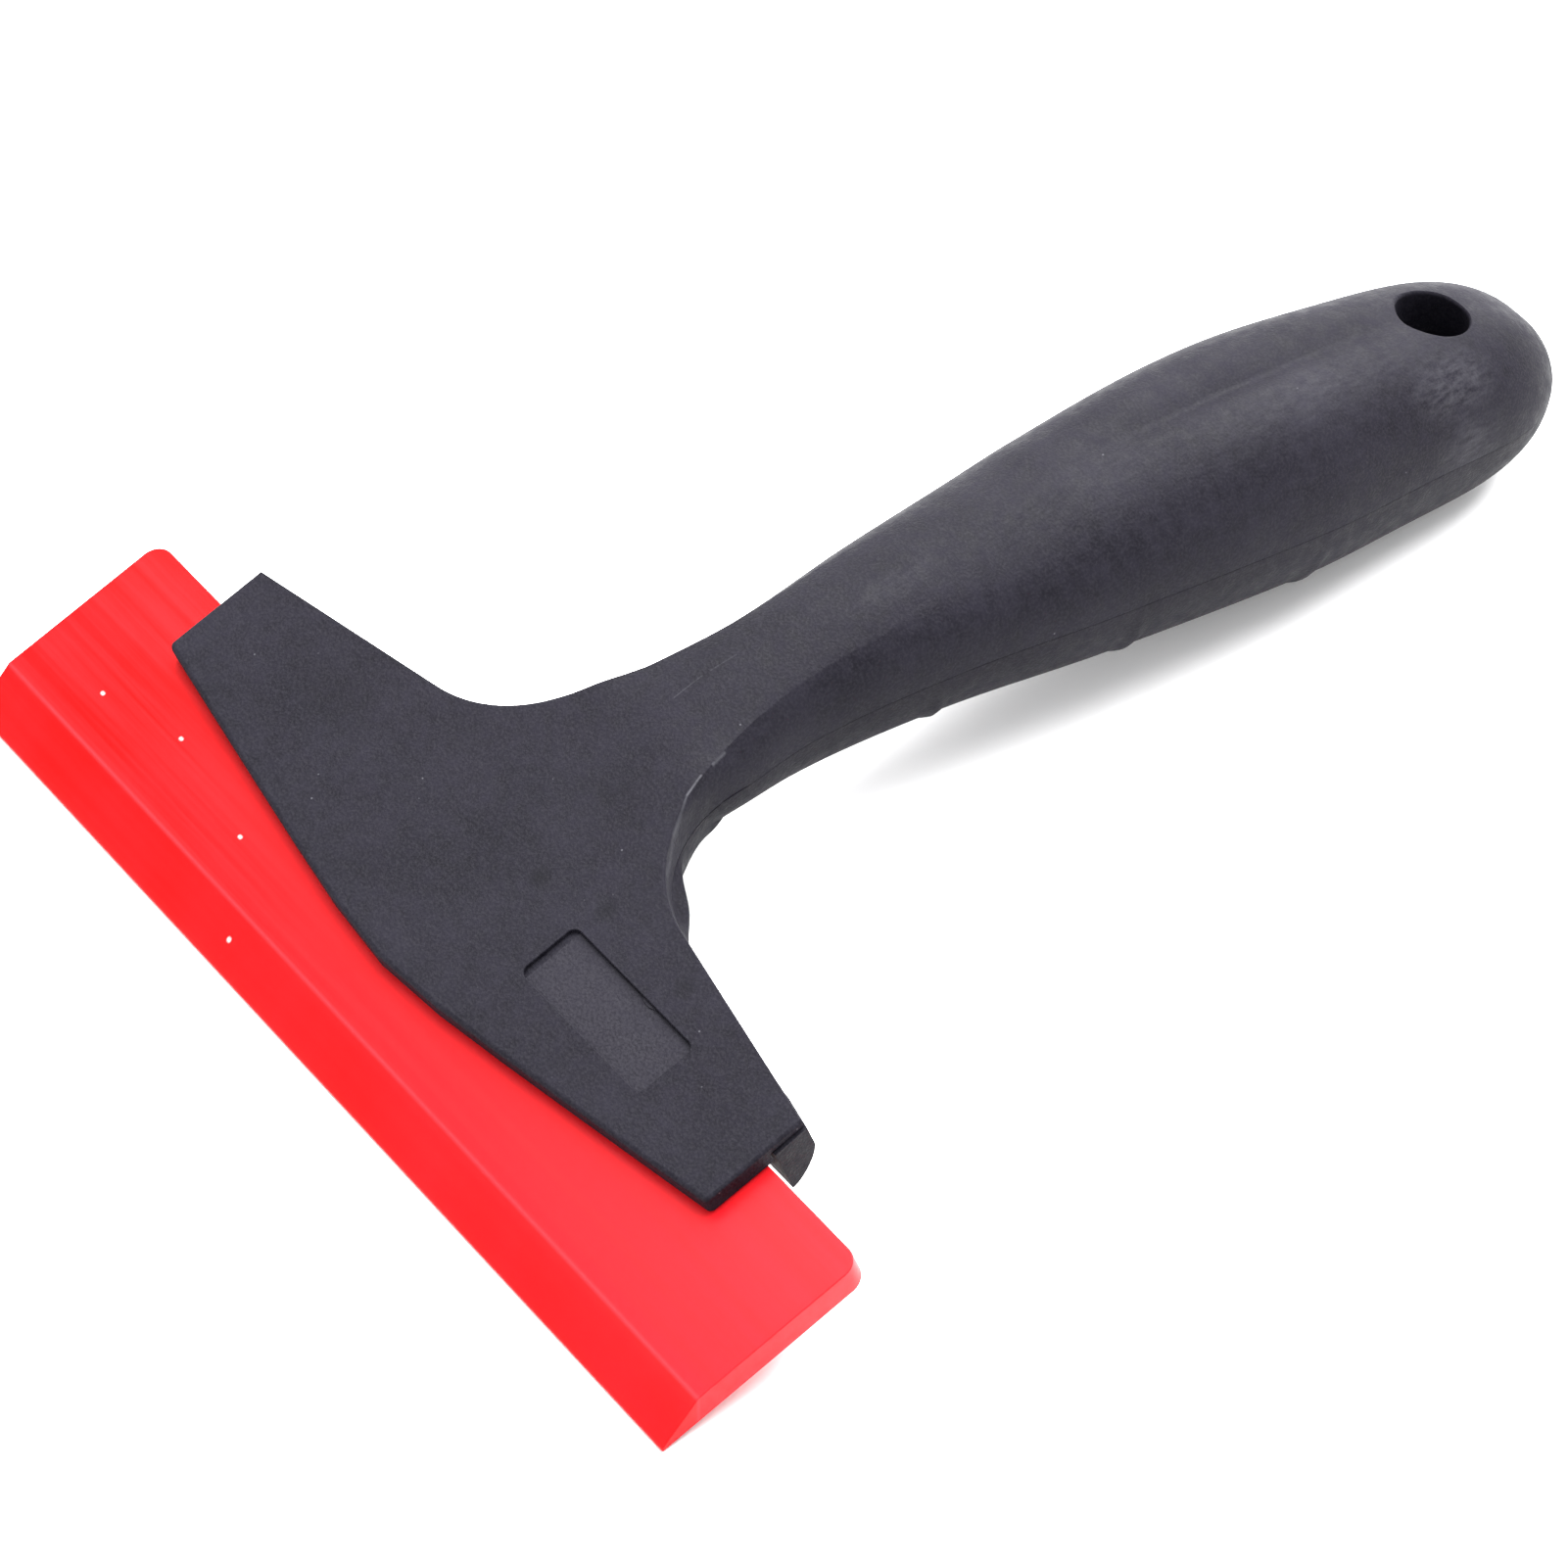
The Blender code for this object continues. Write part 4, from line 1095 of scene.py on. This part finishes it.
def plastic(name, dark, light, with_marks_and_painted_light):
    """Moulded charcoal plastic: fine grain, cloudy mottling, pale specks, and the face's marks with
    their painted sheen and painted crease highlight.
    """
    made, tree, shader, where = new_material(name, light)
    clouds = noise(tree, where, *CLOUDS)
    mottle = noise(tree, where, *MOTTLE)
    grain = noise(tree, where, *GRAIN)
    shade = between(tree, halves(tree, clouds, mottle), *SHADE_RANGE)
    colour = mixed(tree, shade, dark, light)
    colour = mixed(tree, between(tree, grain, *GRAIN_RANGE), colour, SPECK_COLOUR)
    colour = mixed(tree, specks(tree, where, *PALE_SPECKS), colour, PALE_SPECK_COLOUR)
    if with_marks_and_painted_light:
        colour = add_marks_and_painted_light(tree, where, colour, mottle, grain)
    tree.links.new(colour, shader.inputs["Base Color"])
    shine = between(tree, mottle, *PLASTIC_ROUGHNESS)
    tree.links.new(shine, shader.inputs["Roughness"])
    bumped(tree, shader, halves(tree, grain, mottle), *PLASTIC_BUMP)
    shader.inputs["Specular IOR Level"].default_value = PLASTIC_SPECULAR
    return made


def polyurethane():
    """Translucent red polyurethane: drawn streaks, a bevel deepened by painted shade, a +X end
    paled by painted sheen, a painted highlight along the bevel's crease and white specks.
    """
    made, tree, shader, where = new_material("red_polyurethane", RED)
    drawn = noise(tree, stretched(tree, where, DRAWN_STRETCH), *DRAWN)
    clouds = noise(tree, where, *BLADE_CLOUDS)
    place = add(tree, "ShaderNodeSeparateXYZ", {"Vector": where})
    # Painted sheen: the red grows paler along X
    colour = mixed(tree, between(tree, place.outputs["X"], *BLADE_SHEEN_FADE), RED_DEEP, RED_PALE_SHEEN_AND_CLOUD)
    colour = mixed(tree, between(tree, drawn, *DRAWN_RANGE), colour, RED_STREAK)
    y = place.outputs["Y"]
    line_y = on_blade(0.0, BEVEL_WIDTH, BLADE_THICKNESS).y
    # Painted shade: the bevel is coloured deeper red than the flat top
    bevel_shade = between(tree, y, line_y - BEVEL_LINE_WIDTH, line_y, BEVEL_SHADE_STRENGTH, 0.0)
    colour = mixed(tree, bevel_shade, colour, RED_BEVEL_SHADE)
    # Painted highlight: a pale line along the crease between bevel and flat top
    from_line = calc(tree, "ABSOLUTE", calc(tree, "SUBTRACT", y, line_y), 0.0)
    line = between(tree, from_line, 0.0, BEVEL_LINE_WIDTH, BEVEL_LINE, 0.0)
    colour = mixed(tree, line, colour, RED_CREASE_HIGHLIGHT)
    colour = mixed(tree, between(tree, clouds, *BLADE_CLOUD_RANGE), colour, RED_PALE_SHEEN_AND_CLOUD)
    colour = mixed(tree, specks(tree, where, *BLADE_SPECKS), colour, WHITE_SPECK_COLOUR)
    marks = [stroke(tree, where, start, end, BLADE_MARK_SIZE) for start, end in BLADE_MARKS]
    colour = mixed(tree, strongest(tree, marks), colour, WHITE_SPECK_COLOUR)
    tree.links.new(colour, shader.inputs["Base Color"])
    shine = between(tree, drawn, *BLADE_ROUGHNESS)
    tree.links.new(shine, shader.inputs["Roughness"])
    bumped(tree, shader, drawn, *BLADE_BUMP)
    shader.inputs["Subsurface Weight"].default_value = SCATTER_WEIGHT
    shader.inputs["Subsurface Radius"].default_value = SCATTER_RADIUS
    shader.inputs["Subsurface Scale"].default_value = SCATTER_SCALE
    shader.inputs["Specular IOR Level"].default_value = BLADE_SPECULAR
    return made


def zinc():
    """Zinc-plated steel: bright, with cloudy passivation and fine turning marks."""
    made, tree, shader, where = new_material("zinc_steel", ZINC)
    clouds = noise(tree, where, *ZINC_CLOUDS)
    colour = mixed(tree, between(tree, clouds, *CLOUD_RANGE), ZINC_DARK, ZINC_LIGHT)
    tree.links.new(colour, shader.inputs["Base Color"])
    tree.links.new(between(tree, clouds, *ZINC_ROUGHNESS), shader.inputs["Roughness"])
    bumped(tree, shader, noise(tree, where, *ZINC_FINE), *ZINC_BUMP)
    shader.inputs["Metallic"].default_value = 1.0
    return made


def paper():
    """The pale floor: matt, with a very faint unevenness."""
    made, tree, shader, where = new_material("pale_floor", FLOOR)
    clouds = noise(tree, where, *FLOOR_CLOUDS)
    colour = mixed(tree, between(tree, clouds, *CLOUD_RANGE), FLOOR_DARK, FLOOR_LIGHT)
    tree.links.new(colour, shader.inputs["Base Color"])
    shader.inputs["Roughness"].default_value = FLOOR_ROUGHNESS
    shader.inputs["Specular IOR Level"].default_value = FLOOR_SPECULAR
    return made


def make_floor():
    """The floor, a hair under the object."""
    made = bmesh.new()
    count = FLOOR_SEGMENTS
    bmesh.ops.create_grid(made, x_segments=count, y_segments=count, size=FLOOR_HALF)
    for point in made.verts:
        point.co.z = -FLOOR_DROP
    mesh = bpy.data.meshes.new("floor")
    made.to_mesh(mesh)
    made.free()
    floor = bpy.data.objects.new("floor", mesh)
    bpy.context.scene.collection.objects.link(floor)
    mesh.materials.append(paper())


def aimed(direction):
    """A rotation that looks along a direction."""
    return Vector(direction).to_track_quat("-Z", "Y").to_euler()


def make_lights():
    """An even white surround, with a broad soft light above and one behind to the left."""
    world = bpy.data.worlds.new("studio")
    world.use_nodes = True
    background = world.node_tree.nodes["Background"]
    background.inputs["Color"].default_value = (1.0, 1.0, 1.0, 1.0)
    background.inputs["Strength"].default_value = SURROUND
    bpy.context.scene.world = world
    for name, place, size, power in LIGHTS:
        lamp = bpy.data.lights.new(name, "AREA")
        lamp.shape = "SQUARE"
        lamp.size = size
        lamp.energy = power
        obj = bpy.data.objects.new(name, lamp)
        obj.location = place
        obj.rotation_euler = aimed(-Vector(place))
        bpy.context.scene.collection.objects.link(obj)


def make_camera():
    """A long lens from the right, in front and above."""
    azimuth, elevation = math.radians(VIEW_AZIMUTH), math.radians(VIEW_ELEVATION)
    level = Vector((math.sin(azimuth), -math.cos(azimuth), 0.0))
    back = level * math.cos(elevation) + Vector((0.0, 0.0, math.sin(elevation)))
    right = Vector((math.cos(azimuth), math.sin(azimuth), 0.0))
    up = back.cross(right)
    camera = bpy.data.cameras.new("camera")
    camera.lens = VIEW_LENS
    camera.sensor_width = VIEW_SENSOR
    camera.clip_start = VIEW_CLIP
    obj = bpy.data.objects.new("camera", camera)
    target = Vector(VIEW_TARGET)
    place = target + back * VIEW_DISTANCE + right * VIEW_RIGHT + up * VIEW_UP
    turn = Matrix((right, up, back)).transposed().to_4x4()
    obj.matrix_world = Matrix.Translation(place) @ turn
    bpy.context.scene.collection.objects.link(obj)
    bpy.context.scene.camera = obj


def main():
    """Builds every piece and the studio."""
    front_look = plastic("charcoal_plastic", PLASTIC_DARK, PLASTIC_LIGHT, True)
    rear_look = plastic("charcoal_plastic_back", REAR_DARK, REAR_LIGHT, False)
    screw_look = zinc()
    front = make_front_shell(front_look)
    front.name = "front_shell_finish"
    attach(front, "handle")
    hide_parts("front_shell")
    rear = make_rear_shell(rear_look)
    rear.name = "rear_shell_finish"
    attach(rear, "handle")
    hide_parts("rear_shell")
    blade = make_blade(polyurethane())
    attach(blade, "blade")
    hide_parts("blade")
    for name, (x, y, seat, tip) in SCREWS.items():
        screw = make_screw(name, x, y, seat, tip, screw_look)
        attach(screw, "handle")
        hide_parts(name)
    make_floor()
    make_lights()
    make_camera()
    bpy.context.scene.view_settings.view_transform = "Standard"


main()
